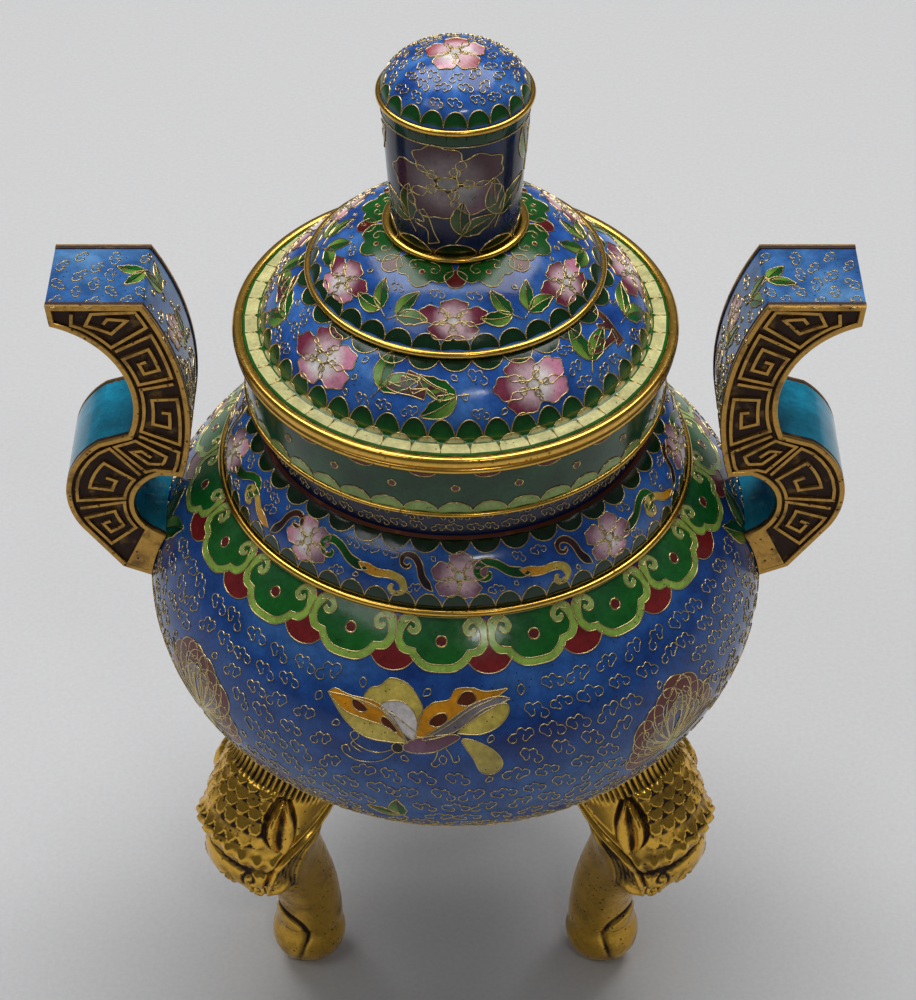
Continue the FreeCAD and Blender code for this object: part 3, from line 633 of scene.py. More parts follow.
def butterfly(art, turn, s, size=1.0, mirror=1):
    """Butterfly seen from the side, wings up, with curled feelers."""
    pale, gold, spot = YELLOW, ORANGE, linear(88, 40, 20)
    shapes = [
        ([(-17.4, 5.6), (-17.4, 5.6), (-13, 5.9), (-8, 5.2), (-4.4, 2.8), (-1.6, -1.4), (-1.6, -1.4),
          (-5.2, -1.6), (-9.6, -1.4), (-13.6, 1.0)], blend(pale, pale * 0.8, (-8, -1), 0, 9), 1),
        ([(-17.4, 5.6), (-17.4, 5.6), (-16, 6.7), (-13, 6.2), (-8, 6.0), (-4.6, 3.6), (-1.4, -1.2),
          (-1.4, -1.2), (-5.6, 1.4), (-10, 2.2), (-14.0, 3.0)], blend(gold, gold * 0.75, (-14, 5), 0, 12), 2),
        ([(-10, 5.6), (-9.4, 8.2), (-7.4, 9.2), (-5.6, 10.9), (-3.2, 10.8), (-1.2, 9.6), (0.6, 7.0),
          (1.0, 5.0), (0.0, 1.0), (0.0, 1.0), (-4.6, 4.2)], blend(pale, pale * 0.72, (-4, 6), 0, 6), 1),
        ([(-6.8, 5.0), (-5.4, 6.6), (-2.8, 6.8), (-0.6, 5.0), (0.2, 2.2), (-0.4, -0.6), (-0.4, -0.6),
         (-2.4, 0.6)], blend(WHITE, WHITE * 0.78, (-2, 4), 0, 5), 3),
        ([(0.0, 0.2), (0.0, 0.2), (0.4, 4.2), (2.6, 7.0), (5.6, 7.8), (6.8, 9.8), (9.8, 10.0), (12.4, 9.2),
          (16.6, 9.4), (16.6, 9.4), (14.2, 7.8), (10.0, 6.0), (5.2, 2.4),
        (1.6, 0.2)], blend(gold, gold * 0.8, (2, 3), 0, 14), 2), ([(1.4, 0.2), (5.2, 3.2), (10, 6.8),
          (14.4, 8.1), (17.2, 7.4), (17.2, 7.4), (12.4, 5.2), (9.0, 2.8), (5.8, 0.9),
        (1.8, -0.4)], blend(GREY * 0.55, GREY * 0.8, (2, 0), 0, 14), 3), ([(7.6, 1.2), (7.6, 1.2),
         (9.6, 3.8), (12.4, 5.9), (16.4, 6.6), (17.0, 4.6), (15.2, 2.2),
        (12, 0.9)], blend(pale, pale * 0.7, (12, 3), 0, 6), 2), ([(8.6, 0.0), (11.6, -0.6), (15, -3.0),
         (16.4, -6.0), (14.8, -8.2), (12.4, -7.6), (10.8, -4.2),
        (9.4, -2.0)], blend(pale * 0.9, pale * 0.7, (12, -2), 0, 6), 2), ([(-2.4, -2.0), (-0.6, -0.4),
         (2.4, 0.4), (6.8, 1.0), (8.2, 0.4), (6.2, -1.2), (3, -3.0),
        (-1.2, -3.3)], blend(MAUVE, MAUVE * 0.7, (0, -1), 0, 8), 4), ([(-12.4, 5.6), (-10.8, 5.4),
        (-9.4, 4.2), (-10.8, 3.4), (-12.2, 4.2)], plain(spot), 3), ([(-6.6, 3.4), (-5.2, 3.0), (-3.4, 0.8),
        (-4.8, 0.8), (-6.6, 2.2)], plain(spot), 3), ([(7.2, 7.2), (8.2, 9.2), (10.0, 9.2), (10.8, 7.6),
        (9.2, 6.6)], plain(spot), 3), ([(2.2, 3.2), (3.4, 4.8), (5.2, 5.2), (5.6, 3.8),
    (3.8, 2.4)], plain(spot), 3), ]
    cells = [(curve(o, step=0.45), shade, level) for o, shade, level in shapes]
    cells.append((circle(1.1, -3.4, -2.6), plain(BLACK * 1.5), 4))
    feelers = [
        [
            (-4.2, -3.0), (-7.5, -4.4), (-11, -3.6), (-12.6, -1.6), (-11.6, -0.6), (-10.9, -1.6),
            (-12.4, -3.6), (-10.4, -4.9)
        ],
        [
            (-3.8, -3.6), (-6.4, -6.0), (-10.4, -7.2), (-13.6, -6.2), (-14.2, -4.6), (-13.0, -4.2),
            (-12.6, -5.4)
        ],
        [(4.2, -2.4), (3.8, -4.2), (3.0, -5.6), (3.8, -6.2), (4.6, -5.4)],
        [(5.6, -1.8), (6.6, -3.4), (7.2, -5.0), (8.2, -4.6), (8.0, -3.6)],
    ]
    wires = [curve(f, closed=False) for f in feelers]
    place_parts(art, turn, s, cells, wires, size=size, mirror=mirror)
    art.keep(turn, s, moved([(-14, -7), (-3, -7), (-3, -2), (-14, -1)], size=size, mirror=mirror))


def chrysanthemum(art, turn, s, size=1.0, mirror=1, seed=1):
    """Feathery bloom: long petals fan out of a lime calyx and curl over at their dark-red tips."""
    rng = random.Random(seed)
    petal = np.array([
        (1.0, -0.3), (1.0, -0.3), (4.5, -1.3), (8.0, -1.5), (11.0, -0.2), (12.0, 2.2), (11.0, 4.2),
        (9.2, 4.0), (9.0, 2.9), (9.9, 2.3), (9.3, 0.9), (7.4, 0.2), (4.4, -0.1),
    ])
    for roll, length in ((0.15, 13.0), (0.75, 15.0)):
        cells = leaf_parts(length, 5.6, 0.2, GREEN, GREEN_DARK, GREEN_MID)
        place_parts(art, turn, s, cells, size=size, roll=roll if mirror > 0 else math.pi - roll)
    outer = blend(GREY * 0.42, RED * 0.85, (0, 0), 3.0, 10.0)
    inner = blend(MAUVE * 0.6, GREY * 0.7, (0, 0), 2.0, 10.0)
    for count, first, last, reach, shade in ((12, 192, 14, 1.0, outer), (8, 170, 34, 0.68, inner)):
        for k in range(count):
            degrees = first + (last - first) * k / (count - 1) + rng.uniform(-3, 3)
            roll = math.radians(degrees if mirror > 0 else 180 - degrees)
            longer = 1 + 0.35 * math.sin(math.radians(degrees)) ** 2
            curl = -1 if math.cos(roll) < 0 else 1
            outline = curve(petal * np.array([1, curl]), step=0.45)
            scale = size * reach * longer * rng.uniform(0.92, 1.05)
            place_parts(art, turn, s, [(outline, shade, 2 + k % 3)], roll=roll, size=scale)
    calyx = circle(1.0) * np.array([3.6, 1.7]) + np.array([1.0, 0])
    place_parts(
        art, turn, s, [(calyx, blend(LIME, LIME * 0.7, (0, 0), 0, 4), 5)], size=size, roll=0.9 * mirror
    )


def dotted_band(art, s, count, radius=0.75, start=0.0):
    """Gold-ringed dark-red dots along a line."""
    for k in range(count):
        dot = circle(radius, points=12)
        art.cell(start + k * TAU / count, s, dot, plain(linear(98, 40, 36)), 2)
        art.wire(start + k * TAU / count, s, dot, width=0.36)


# ---------------------------------------------------------------- materials


def material(name):
    """New node material: (material, tree, its Principled shader, object coordinates)."""
    made = bpy.data.materials.new(name)
    made.use_nodes = True
    tree = made.node_tree
    shader = tree.nodes["Principled BSDF"]
    return made, tree, shader, tree.nodes.new("ShaderNodeTexCoord").outputs["Object"]


def noise_node(tree, coords, scale, detail=3.0, roughness=0.55, squeeze=None):
    """Noise over object coordinates in metres; squeeze makes streaks."""
    if squeeze:
        mapping = tree.nodes.new("ShaderNodeMapping")
        mapping.inputs["Scale"].default_value = squeeze
        tree.links.new(coords, mapping.inputs["Vector"])
        coords = mapping.outputs["Vector"]
    node = tree.nodes.new("ShaderNodeTexNoise")
    node.inputs["Scale"].default_value = scale
    node.inputs["Detail"].default_value = detail
    node.inputs["Roughness"].default_value = roughness
    tree.links.new(coords, node.inputs["Vector"])
    return node.outputs["Fac"]


def spots(tree, coords, scale, size, rarity):
    """1 in small scattered pits and 0 elsewhere."""
    cells = tree.nodes.new("ShaderNodeTexVoronoi")
    cells.inputs["Scale"].default_value = scale
    tree.links.new(coords, cells.inputs["Vector"])
    small = math_node(tree, "LESS_THAN", cells.outputs["Distance"], size)
    some = math_node(tree, "GREATER_THAN", noise_node(tree, coords, scale * 0.31, 2.0), rarity)
    return math_node(tree, "MULTIPLY", small, some)


def math_node(tree, operation, a, b):
    node = tree.nodes.new("ShaderNodeMath")
    node.operation = operation
    for socket, value in zip(node.inputs, (a, b)):
        if isinstance(value, (int, float)):
            socket.default_value = value
        else:
            tree.links.new(value, socket)
    return node.outputs[0]


def ramp(tree, value, low, high, to_low, to_high):
    """value taken from low..high to to_low..to_high, and held there beyond."""
    node = tree.nodes.new("ShaderNodeMapRange")
    for name, number in zip(("From Min", "From Max", "To Min", "To Max"), (low, high, to_low, to_high)):
        node.inputs[name].default_value = number
    tree.links.new(value, node.inputs["Value"])
    return node.outputs["Result"]


def mix(tree, factor, a, b, kind="MIX"):
    node = tree.nodes.new("ShaderNodeMix")
    node.data_type = "RGBA"
    node.blend_type = kind
    for socket, value in ((node.inputs[0], factor), (node.inputs[6], a), (node.inputs[7], b)):
        if isinstance(value, bpy.types.NodeSocket):
            tree.links.new(value, socket)
        elif isinstance(value, (int, float)):
            socket.default_value = value
        else:
            socket.default_value = (*value, 1.0)
    return node.outputs[2]


def bump(tree, shader, height, depth_mm, strength):
    node = tree.nodes.new("ShaderNodeBump")
    node.inputs["Strength"].default_value = strength
    node.inputs["Distance"].default_value = depth_mm * MM
    tree.links.new(height, node.inputs["Height"])
    tree.links.new(node.outputs["Normal"], shader.inputs["Normal"])


def tint_of(tree):
    node = tree.nodes.new("ShaderNodeAttribute")
    node.attribute_name = "tint"
    return node.outputs["Color"]


def enamel_material(name, colour=None, streaks=0.0, pits=0.53):
    """Fired enamel, ground and polished: mottled, pitted and glossy.

    Its colour is the mesh's tint unless one is given.
    """
    made, tree, shader, coords = material(name)
    base = tint_of(tree) if colour is None else colour
    cloudy = ramp(tree, noise_node(tree, coords, 260.0, 5.0, 0.65), 0.3, 0.7, 0.70, 1.28)
    grainy = ramp(tree, noise_node(tree, coords, 1300.0, 3.0), 0.3, 0.7, 0.86, 1.13)
    shade = math_node(tree, "MULTIPLY", cloudy, grainy)
    if streaks:
        long = noise_node(tree, coords, 60.0, 4.0, 0.6, (0.5, 4.0, 1.0))
        shade = math_node(tree, "MULTIPLY", shade, ramp(tree, long, 0.3, 0.75, 1 - streaks, 1 + streaks))
    grey = tree.nodes.new("ShaderNodeCombineColor")
    for channel in grey.inputs:
        tree.links.new(shade, channel)
    base = mix(tree, 1.0, base, grey.outputs[0], "MULTIPLY")
    pit = spots(tree, coords, 900.0, 0.13, pits)
    base = mix(tree, pit, base, (0.012, 0.010, 0.012))
    tree.links.new(base, shader.inputs["Base Color"])
    tree.links.new(
        ramp(tree, noise_node(tree, coords, 420.0, 4.0), 0.3, 0.75, 0.10, 0.24), shader.inputs["Roughness"]
    )
    shader.inputs["IOR"].default_value = 1.52
    shader.inputs["Specular IOR Level"].default_value = 0.38
    ripple = noise_node(tree, coords, 480.0, 3.0)
    height = math_node(tree, "SUBTRACT", ripple, pit)
    bump(tree, shader, height, 0.035, 0.6)
    return made


def metal_material(name, clean, stain, rough, stain_rough, wear_scale, grain, bias, dark_metal):
    """Gilt or brass. The mesh's tint is 1 where it is rubbed clean and 0 where patina sits."""
    made, tree, shader, coords = material(name)
    patchy = noise_node(tree, coords, wear_scale, 5.0, 0.65)
    fine = noise_node(tree, coords, 1500.0, 3.0, 0.6)
    worn = math_node(tree, "ADD", ramp(tree, patchy, 0.32, 0.66, -0.42, 0.30), bias)
    speck = math_node(tree, "MULTIPLY", spots(tree, coords, 700.0, 0.20, 0.50), -0.6)
    brightness = tree.nodes.new("ShaderNodeRGBToBW")
    tree.links.new(tint_of(tree), brightness.inputs[0])
    clean_share = math_node(tree, "ADD", brightness.outputs[0], math_node(tree, "ADD", worn, speck))
    clean_share = ramp(tree, clean_share, 0.12, 0.92, 0.0, 1.0)
    tone = mix(tree, ramp(tree, fine, 0.35, 0.65, 0.0, 1.0), tuple(0.82 * c for c in clean), tuple(clean))
    tree.links.new(mix(tree, clean_share, tuple(stain), tone), shader.inputs["Base Color"])
    tree.links.new(ramp(tree, clean_share, 0.0, 1.0, dark_metal, 1.0), shader.inputs["Metallic"])
    tree.links.new(ramp(tree, clean_share, 0.0, 1.0, stain_rough, rough), shader.inputs["Roughness"])
    bump(tree, shader, math_node(tree, "ADD", fine, patchy), grain, 0.5)
    return made


GOLD = linear(236, 186, 84)
TARNISH = linear(104, 66, 22)
PATINA = linear(42, 22, 10)

ENAMEL = enamel_material("cloisonne_enamel")
WIRE_GILT = metal_material("gilt_wire", linear(208, 184, 126), linear(124, 104, 72), rough=0.26,
                           stain_rough=0.42, wear_scale=120.0, grain=0.006, bias=0.05, dark_metal=0.9)
RING_GILT = metal_material("gilt_ring", GOLD, TARNISH, rough=0.20, stain_rough=0.42,
                           wear_scale=90.0, grain=0.01, bias=0.12, dark_metal=0.9)
FRET_GILT = metal_material("gilt_fretwork", linear(196, 152, 78), PATINA * 1.5, rough=0.30, stain_rough=0.72,
                           wear_scale=260.0, grain=0.03, bias=0.05, dark_metal=0.25)
CAST_GILT = metal_material("gilt_casting", linear(232, 182, 74), PATINA, rough=0.20, stain_rough=0.60,
                           wear_scale=150.0, grain=0.03, bias=0.08, dark_metal=0.45)
DULL_BRASS = metal_material("dull_brass", linear(190, 150, 84), TARNISH, rough=0.38, stain_rough=0.6,
                             wear_scale=200.0, grain=0.03, bias=0.0, dark_metal=0.8)
COPPER = metal_material("bare_copper", linear(196, 122, 84), linear(96, 52, 34), rough=0.36, stain_rough=0.6,
                        wear_scale=160.0, grain=0.03, bias=0.0, dark_metal=0.8)
TURQUOISE = enamel_material("turquoise_enamel", tuple(linear(22, 128, 158)), streaks=0.22, pits=0.60)
LINING = enamel_material("lining_enamel", tuple(linear(38, 150, 170)), streaks=0.15, pits=0.50)


def dress(material_of_node):
    """Gives CAD nodes that stay in view their material."""
    for name, made in material_of_node.items():
        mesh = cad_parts[name].data
        mesh.materials.clear()
        mesh.materials.append(made)


# ---------------------------------------------------------------- the jar and the lid


def profiles():
    """Profiles of the turned surfaces, from the boxes of the CAD nodes."""
    belly_low, belly_high = box_mm("belly_enamel")
    middle = box_mm("bowl_upper_copper")[0][2]
    neck_low, neck_high = box_mm("neck_enamel")
    collar_low, collar_high = box_mm("collar_enamel")
    lid_r = box_mm("lid_lower_enamel")[1][0]
    tier_r = box_mm("lid_upper_enamel")[1][0]
    knob_low, knob_high = box_mm("knob_enamel")
    cap_low, cap_high = box_mm("knob_cap_enamel")
    wide, deep = belly_high[0], middle - belly_low[2]
    top_turn = math.asin((belly_high[2] - middle) / deep)
    turns = np.linspace(-math.pi / 2, top_turn, 160)
    belly = np.stack([wide * np.cos(turns), middle + deep * np.sin(turns)], 1)
    shoulder = arc_points(belly[-1], (neck_high[0] + SHOULDER_TOP_OUT, neck_low[2]), SHOULDER_ARC)
    flange_z = box_mm("lid_rim")[1][2] - FLANGE_DROP
    tier_z = box_mm("lid_tier_ring")[0][2] - TIER_DROP
    lower = arc_points((lid_r - FLANGE_WIDTH, flange_z), (tier_r, tier_z), LOWER_DOME_ARC)
    upper = arc_points((tier_r, tier_z + TIER_STEP), (KNOB_SEAT_R, knob_low[2]), UPPER_DOME_ARC)
    t = np.linspace(0, math.pi / 2, 40)
    cap_rise = cap_high[2] - cap_low[2]
    return {
        "belly": belly,
        "shoulder": shoulder,
        "neck": [(neck_high[0], neck_low[2]), (neck_high[0], neck_high[2])],
        "collar": [(collar_high[0] - COLLAR_FLARE, collar_low[2]), (collar_high[0], collar_high[2])],
        "lid_lower": np.concatenate([[(lid_r, flange_z)], lower]),
        "lid_upper": np.concatenate([upper, [(KNOB_HOLE_R, knob_low[2])]]),
        "knob": [(knob_high[0] - KNOB_TAPER, knob_low[2]), (knob_high[0], knob_high[2])],
        "cap": np.stack([knob_high[0] * np.cos(t), cap_low[2] + cap_rise * np.sin(t)], 1),
    }


def drift(turn, s, scale, seed=0.0):
    """Slow change over a turned surface, -1 to 1."""
    return noise.noise(Vector((math.sin(turn) * scale, math.cos(turn) * scale, s * scale / 30 + seed)))


def clamp(value):
    return max(0.0, min(1.0, value))


def blues(dark, middle, light, floor_sheen=None):
    """Ground colour that drifts between blues, and towards the foot turns to a grey that is a painted
    reflection of the pale floor.
    """

    def colour(turn, s):
        d = drift(turn, s, 2.6) + 0.5 * drift(turn, s, 8.0, 7.0)
        tone = middle + (light - middle) * clamp(d * 1.3) + (dark - middle) * clamp(-d * 1.3)
        if floor_sheen is not None:
            # painted reflection: towards the foot the ground turns grey, standing in for the pale floor
            # mirrored in the glossy enamel
            share = clamp((SHEEN_TOP - s) / SHEEN_FADE)
            tone = tone * (1 - 0.65 * share) + floor_sheen * 0.65 * share
        return tone

    return colour


def belly_art(surface):
    art = Art(surface)
    # painted shade: the belly's blues are darker copies of the shoulder's and lid's, standing in for the
    # weaker light on the belly's side
    ground(art.cells, surface, blues(BLUE_DEEP * 0.8, BLUE * 0.78, BLUE_LIGHT * 0.66, BLUE_FLOOR_SHEEN * 0.66))
    top = surface.length - 0.4
    count = 18
    first = math.radians(-3)
    for k in range(count):
        fan(art, first + (k + 0.5) * TAU / count, top)
    for k in range(count):
        ruyi_lappet(art, first + k * TAU / count, top, TAU * surface.radius(top - 5) / count)
    # a little above the widest turn
    wide = surface.length * 0.72
    butterfly(art, math.radians(-7), wide + 9.0)
    butterfly(art, math.radians(172), wide + 9.0, 0.9, -1)
    for turn, mirror, seed in ((-54, -1, 3), (43, 1, 4), (-132, 1, 5), (132, -1, 6)):
        chrysanthemum(art, math.radians(turn), wide - 8.0, 1.0, mirror, seed)
    for turn, up, lean in (
        (-70, -16, 0.5), (72, -14, 1.9), (-84, 12, 1.4), (83, 13, 1.7), (-92, -4, 1.6), (93, -3, 1.4),
        (-142, -14, 0.6), (142, -15, 2.5), (152, 6, 1.9), (-152, 7, 1.3),
    ):
        leaf_pair(art, math.radians(turn), wide + up, 1.6, lean)
    for turn in (-10, 110, 230):
        leaf_pair(art, math.radians(turn), wide - 15.0, 1.1, 2.2)
    art.clouds(18.0, top - 3.0, random.Random(11), 5.9, 2.3)
    art.pieces("belly", "vessel", "blue_enamel")


def shoulder_art(surface):
    art = Art(surface)
    ground(art.cells, surface, blues(BLUE_DEEP * 0.8, BLUE * 0.9, BLUE_LIGHT * 0.8))
    foot, top = 0.7, surface.length - 0.1
    scallops(art, foot, 58, 3.4, blend(GREEN_DARK * 0.9, GREEN_DARK * 0.5, (0, 3), 0, 4))
    scallops(art, top, 44, 2.7, blend(GREEN_DARK * 0.55, GREEN_DARK * 0.4, (0, -2), 0, 3), up=False)
    middle = surface.length * 0.52
    flowers = 9
    for k in range(flowers):
        turn = math.radians(1) + k * TAU / flowers
        cells, wires = blossom_parts(5.3, 0.3 + k, 5, (WHITE, PINK * 1.05, MAUVE), 0.86, 20 + k)
        place_parts(art, turn, middle, cells, wires)
        side = 1 if k % 2 else -1
        for share, up, scroll, mirror, roll in (
            (0.28, 1.2, scroll_parts(1.15, GREEN_DARK, GREEN), side, 0.25 * side),
            (0.53, -0.6, scroll_parts(1.1, ORANGE, YELLOW * 0.8), -side, -0.3),
            (0.77, 0.7, scroll_parts(0.95, BLACK * 1.6, BROWN), side, 0.9 * side),
        ):
            at = turn + share * TAU / flowers
            place_parts(art, at, middle + up, scroll, mirror=mirror, roll=roll)
    art.clouds(foot + 3.0, surface.length - 2.6, random.Random(12), 3.9, 1.4)
    art.pieces("shoulder", "vessel", "blue_enamel")


def neck_art(surface):
    art = Art(surface)
    ground(art.cells, surface, lambda turn, s: NIGHT * (1 + 0.3 * drift(turn, s, 6.0)))
    art.clouds(0.6, surface.length - 0.6, random.Random(13), 3.5, 1.35)
    art.pieces("neck", "vessel", "dark_blue_enamel")


def collar_art(surface):
    art = Art(surface)
    ground(art.cells, surface, lambda turn, s: GREEN_MID * (0.62 + 0.35 * drift(turn, s, 6.0)))
    scallops(art, 0.0, 40, 2.7, blend(CREAM_GREEN, LIME * 0.8, (0, 2), 0, 4))
    count = 22
    shade = blend(RED, RED * 0.6, (0, 0), 0, 3)
    scallops(art, surface.length, count, 1.5, shade, up=False, start=0.14, fill=0.22)
    dotted_band(art, surface.length * 0.60, count)
    art.pieces("collar", "vessel", "green_enamel")


def lid_lower_art(surface):
    art = Art(surface)
    sky = blues(BLUE_DEEP, BLUE * 1.05, BLUE_LIGHT)
    ground(art.cells, surface, lambda turn, s: sky(turn, s) if s > 4.6 else GREEN * 0.8)
    count = 46
    scallops(art, 0.4, count, 3.7, blend(CREAM * 0.85, CREAM, (0, 0), 0, 4), level=2)
    shade = blend(GREEN, GREEN_DARK * 0.8, (0, 0), 0.5, 4.5)
    scallops(art, 3.2, count, 4.2, shade, start=TAU / count / 2)
    top = surface.length
    scallops(art, top, 30, 2.6, blend(GREEN_DARK * 0.7, GREEN_DARK, (0, 0), 0, 3), up=False)
    middle = 12.4
    for k, turn in enumerate((25, 97, 169, 241, 313)):
        at = math.radians(turn)
        cells, wires = blossom_parts(7.6, 0.5 + 1.3 * k, 5, (WHITE, PINK, PLUM), 0.72, 40 + k)
        place_parts(art, at, middle - 0.4, cells, wires)
        leaf_pair(art, at + 0.40, middle - 1.2, 1.15, 1.0)
        leaf_pair(art, at - 0.43, middle - 0.6, 1.2, -0.1 if k % 2 else 3.2, 0.9)
        place_parts(art, at + 0.66, middle + 0.9, branch_parts(0.86), roll=1.5 + 0.3 * k)
        place_parts(art, at - 0.70, middle - 0.4, branch_parts(0.8), mirror=-1, roll=-0.1)
    art.clouds(6.6, top - 1.8, random.Random(14), 4.3, 1.65)
    art.pieces("lid_lower", "lid", "blue_enamel")


def lid_upper_art(surface):
    art = Art(surface)
    ground(art.cells, surface, blues(BLUE_DEEP, BLUE, BLUE_LIGHT))
    scallops(art, 0.2, 32, 2.8, blend(GREEN_DARK * 0.9, GREEN_DARK * 0.5, (0, 0), 0, 3.4))
    collar = surface.length - 2.0
    lobes = 8
    for k in range(lobes):
        turn = (k + 0.5) * TAU / lobes
        spot = [(-2.0, -3.4), (-1.0, -5.6), (1.1, -5.6), (2.1, -3.4), (0, -2.0)]
        art.cell(turn + TAU / lobes / 2, collar, curve(spot), blend(RED, RED * 0.6, (0, -3), 0, 2), 1)
        lobe = [(-4.0, 0), (-4.0, 0), (-5.6, -2.8), (-4.2, -4.9), (-2.4, -4.7), (-1.6, -5.8), (0, -6.5),
                (1.6, -5.8), (2.4, -4.7), (4.2, -4.9), (5.6, -2.8), (4.0, 0), (4.0, 0)]
        outline = curve(lobe)
        art.cell(turn, collar, outline, blend(GREEN, GREEN * 0.62, (0, -3), 0, 4.5), 2)
        art.keep(turn, collar, outline)
        for mirror in (1, -1):
            curl = [(0.5, -0.6), (1.9, -0.8), (3.0, -1.9), (2.5, -3.0), (1.5, -2.8), (1.6, -2.0), (2.2, -2.1)]
            line = curve(moved(curl, mirror=mirror), closed=False, step=0.3)
            art.wire(turn, collar, line, closed=False, width=0.24)
        art.cell(turn, collar, circle(0.5, 0, -3.2, 10), plain(RED), 3)
    for k in range(6):
        at = math.radians(-1) + k * TAU / 6
        cells, wires = blossom_parts(6.2, math.pi / 2, 5, (WHITE, PINK, PLUM), 0.66, 60 + k)
        place_parts(art, at, 5.6, cells, wires)
        leaf_pair(art, at + TAU / 12 - 0.06, 5.2, 0.92, 2.5)
        leaf_pair(art, at + TAU / 12 + 0.08, 4.9, 0.92, 0.6)
    art.clouds(2.8, surface.length - 5.0, random.Random(15), 3.6, 1.3)
    art.pieces("lid_upper", "lid", "blue_enamel")


def knob_art(surface):
    art = Art(surface)
    dark = blues(NIGHT * 0.5, NIGHT * 0.8, BLUE_DEEP * 0.45)
    ground(art.cells, surface, dark, columns=KNOB_COLUMNS)
    scallops(art, 0.0, 9, 3.4, blend(GREEN_DARK * 0.6, GREEN_DARK * 0.35, (0, 2), 0, 4))
    top = surface.length
    band = [(-0.5, 0), (-0.5, -2.6), (0.5, -2.6), (0.5, 0)]
    pieces = 24
    width = TAU * surface.radius(top - 1) / pieces
    for k in range(pieces):
        cell = np.array(band) * np.array([width * 1.02, 1]) + np.array([0, -0.5])
        art.cell(k * TAU / pieces, top, cell, plain(GREEN * 0.4), 1, wired=False)
    under_band = top - 3.2
    turns = np.linspace(-math.pi, math.pi, 120)[:-1]
    art.wire(0, under_band, np.stack([turns * surface.radius(under_band), 0 * turns], 1), width=0.3)
    for k, turn in enumerate((-6, 178)):
        at = math.radians(turn)
        cells, wires = blossom_parts(11.4, 0.6 + k, 5, (WHITE * 0.42, PINK * 0.24, PLUM * 0.35), 0.72, 80 + k)
        place_parts(art, at, top - 11.2, cells, wires)
        leaf_pair(art, at + 0.80, 8.5, 1.35, 1.2, depth=0.35)
        leaf_pair(art, at - 0.62, 7.0, 1.25, 2.1, depth=0.35)
        leaf_pair(art, at + 0.20, 5.6, 1.15, 1.0, depth=0.35)
        place_parts(art, at - 0.30, 6.6, branch_parts(0.8, BLACK * 1.4), roll=1.9)
    for turn in (80, -98):
        leaf_pair(art, math.radians(turn), top - 12.0, 1.5, 1.4)
    art.pieces("knob", "lid", "dark_blue_enamel")


def cap_art(cap):
    """The cap's scallops and clouds, and the blossom on its crown."""
    crown = Art(cap)
    ground(crown.cells, cap, blues(BLUE_DEEP, BLUE, BLUE_LIGHT), columns=KNOB_COLUMNS, high=cap.length - 0.05)
    scallops(crown, 0.9, 20, 2.9, blend(GREEN * 0.9, GREEN_DARK, (0, 0), 0, 3.5))
    crown.clouds(4.2, cap.length - 5.8, random.Random(16), 3.6, 1.3)
    pole = Pole(np.stack([cap.r, cap.z], 1))
    crown.surface = pole
    cells, wires = blossom_parts(5.4, math.pi / 2, 5, (WHITE, PINK, linear(150, 50, 62)), 1.0, 90)
    place_parts(crown, 0, 0, cells, wires, keep=False)
    crown.pieces("knob_cap", "lid", "blue_enamel")


def gilt_rings():
    """Rounded gilt rings in place of the plain CAD ones."""
    mouth_low, mouth_high = box_mm("mouth_rim")
    rim_low, rim_high = box_mm("lid_rim")
    mouth = Mesh()
    r, z0, z1 = mouth_high[0], mouth_low[2], mouth_high[2]
    rim_inside = r - 3.5
    lathe(mouth, [(rim_inside, z0), (r - 0.5, z0), (r - 0.12, z0 + 0.25), (r, (z0 + z1) / 2),
                  (r - 0.12, z1 - 0.25), (r - 0.45, z1), (rim_inside + 0.3, z1), (rim_inside, z1 - 0.3)])
    mouth.piece("mouth_rim_band", RING_GILT, "vessel", "gilt_wire", ("mouth_rim",), corner=50)
    rim = Mesh()
    r, z0, z1 = rim_high[0], rim_low[2], rim_high[2]
    t = np.linspace(-math.pi / 2, math.pi / 2, 11)
    nose = [(r - 0.75 + 0.75 * math.cos(a), (z0 + z1) / 2 + (z1 - z0) / 2 * math.sin(a)) for a in t]
    lathe(rim, [(r - 2.0, z0)] + nose + [(r - 1.5, z1), (r - 1.9, z1 - 0.25), (r - 2.0, z1 - 0.5)])
    rim.piece("lid_rim_band", RING_GILT, "lid", "gilt_wire", ("lid_rim",), corner=50)
    for node, body, columns in (
        ("shoulder_ring", "vessel", 360), ("collar_foot_ring", "vessel", 360), ("lid_tier_ring", "lid", 240),
        ("knob_top_ring", "lid", 160), ("knob_foot_ring", "lid", 160),
    ):
        low, high = box_mm(node)
        mesh = Mesh()
        half = (high[2] - low[2]) / 2
        depth = {"collar_foot_ring": 0.75, "knob_foot_ring": 1.0}.get(node, half)
        bead(mesh, high[0] - depth, (low[2] + high[2]) / 2, depth, half)
        mesh.piece(node + "_bead", RING_GILT, body, "gilt_wire", (node,), corner=None)


# ---------------------------------------------------------------- the ears

# corners of the right ear's side plate, (x, z), and where each run of fret starts and ends
EAR_TIP, EAR_TIP_UNDER = (75.6, 175.7), (75.2, 170.9)
EAR_BEND, EAR_HEEL = (57.5, 175.7), (52.9, 133.8)
FRET_LINES = [
    ((71.0, 175.7), (71.4, 169.4)), ((54.2, 170.3), (65.0, 164.4)), ((51.2, 158.0), (61.8, 155.5)),
    ((51.6, 139.5), (62.6, 145.5)), ((60.2, 133.2), (67.5, 143.0)), ((62.9, 127.8), (75.9, 125.5)),
    ((60.8, 121.5), (69.5, 113.6)),
]
FRET_BORDER = 1.15
FRET_DEPTH = 0.6
FRET_LINE = 0.85


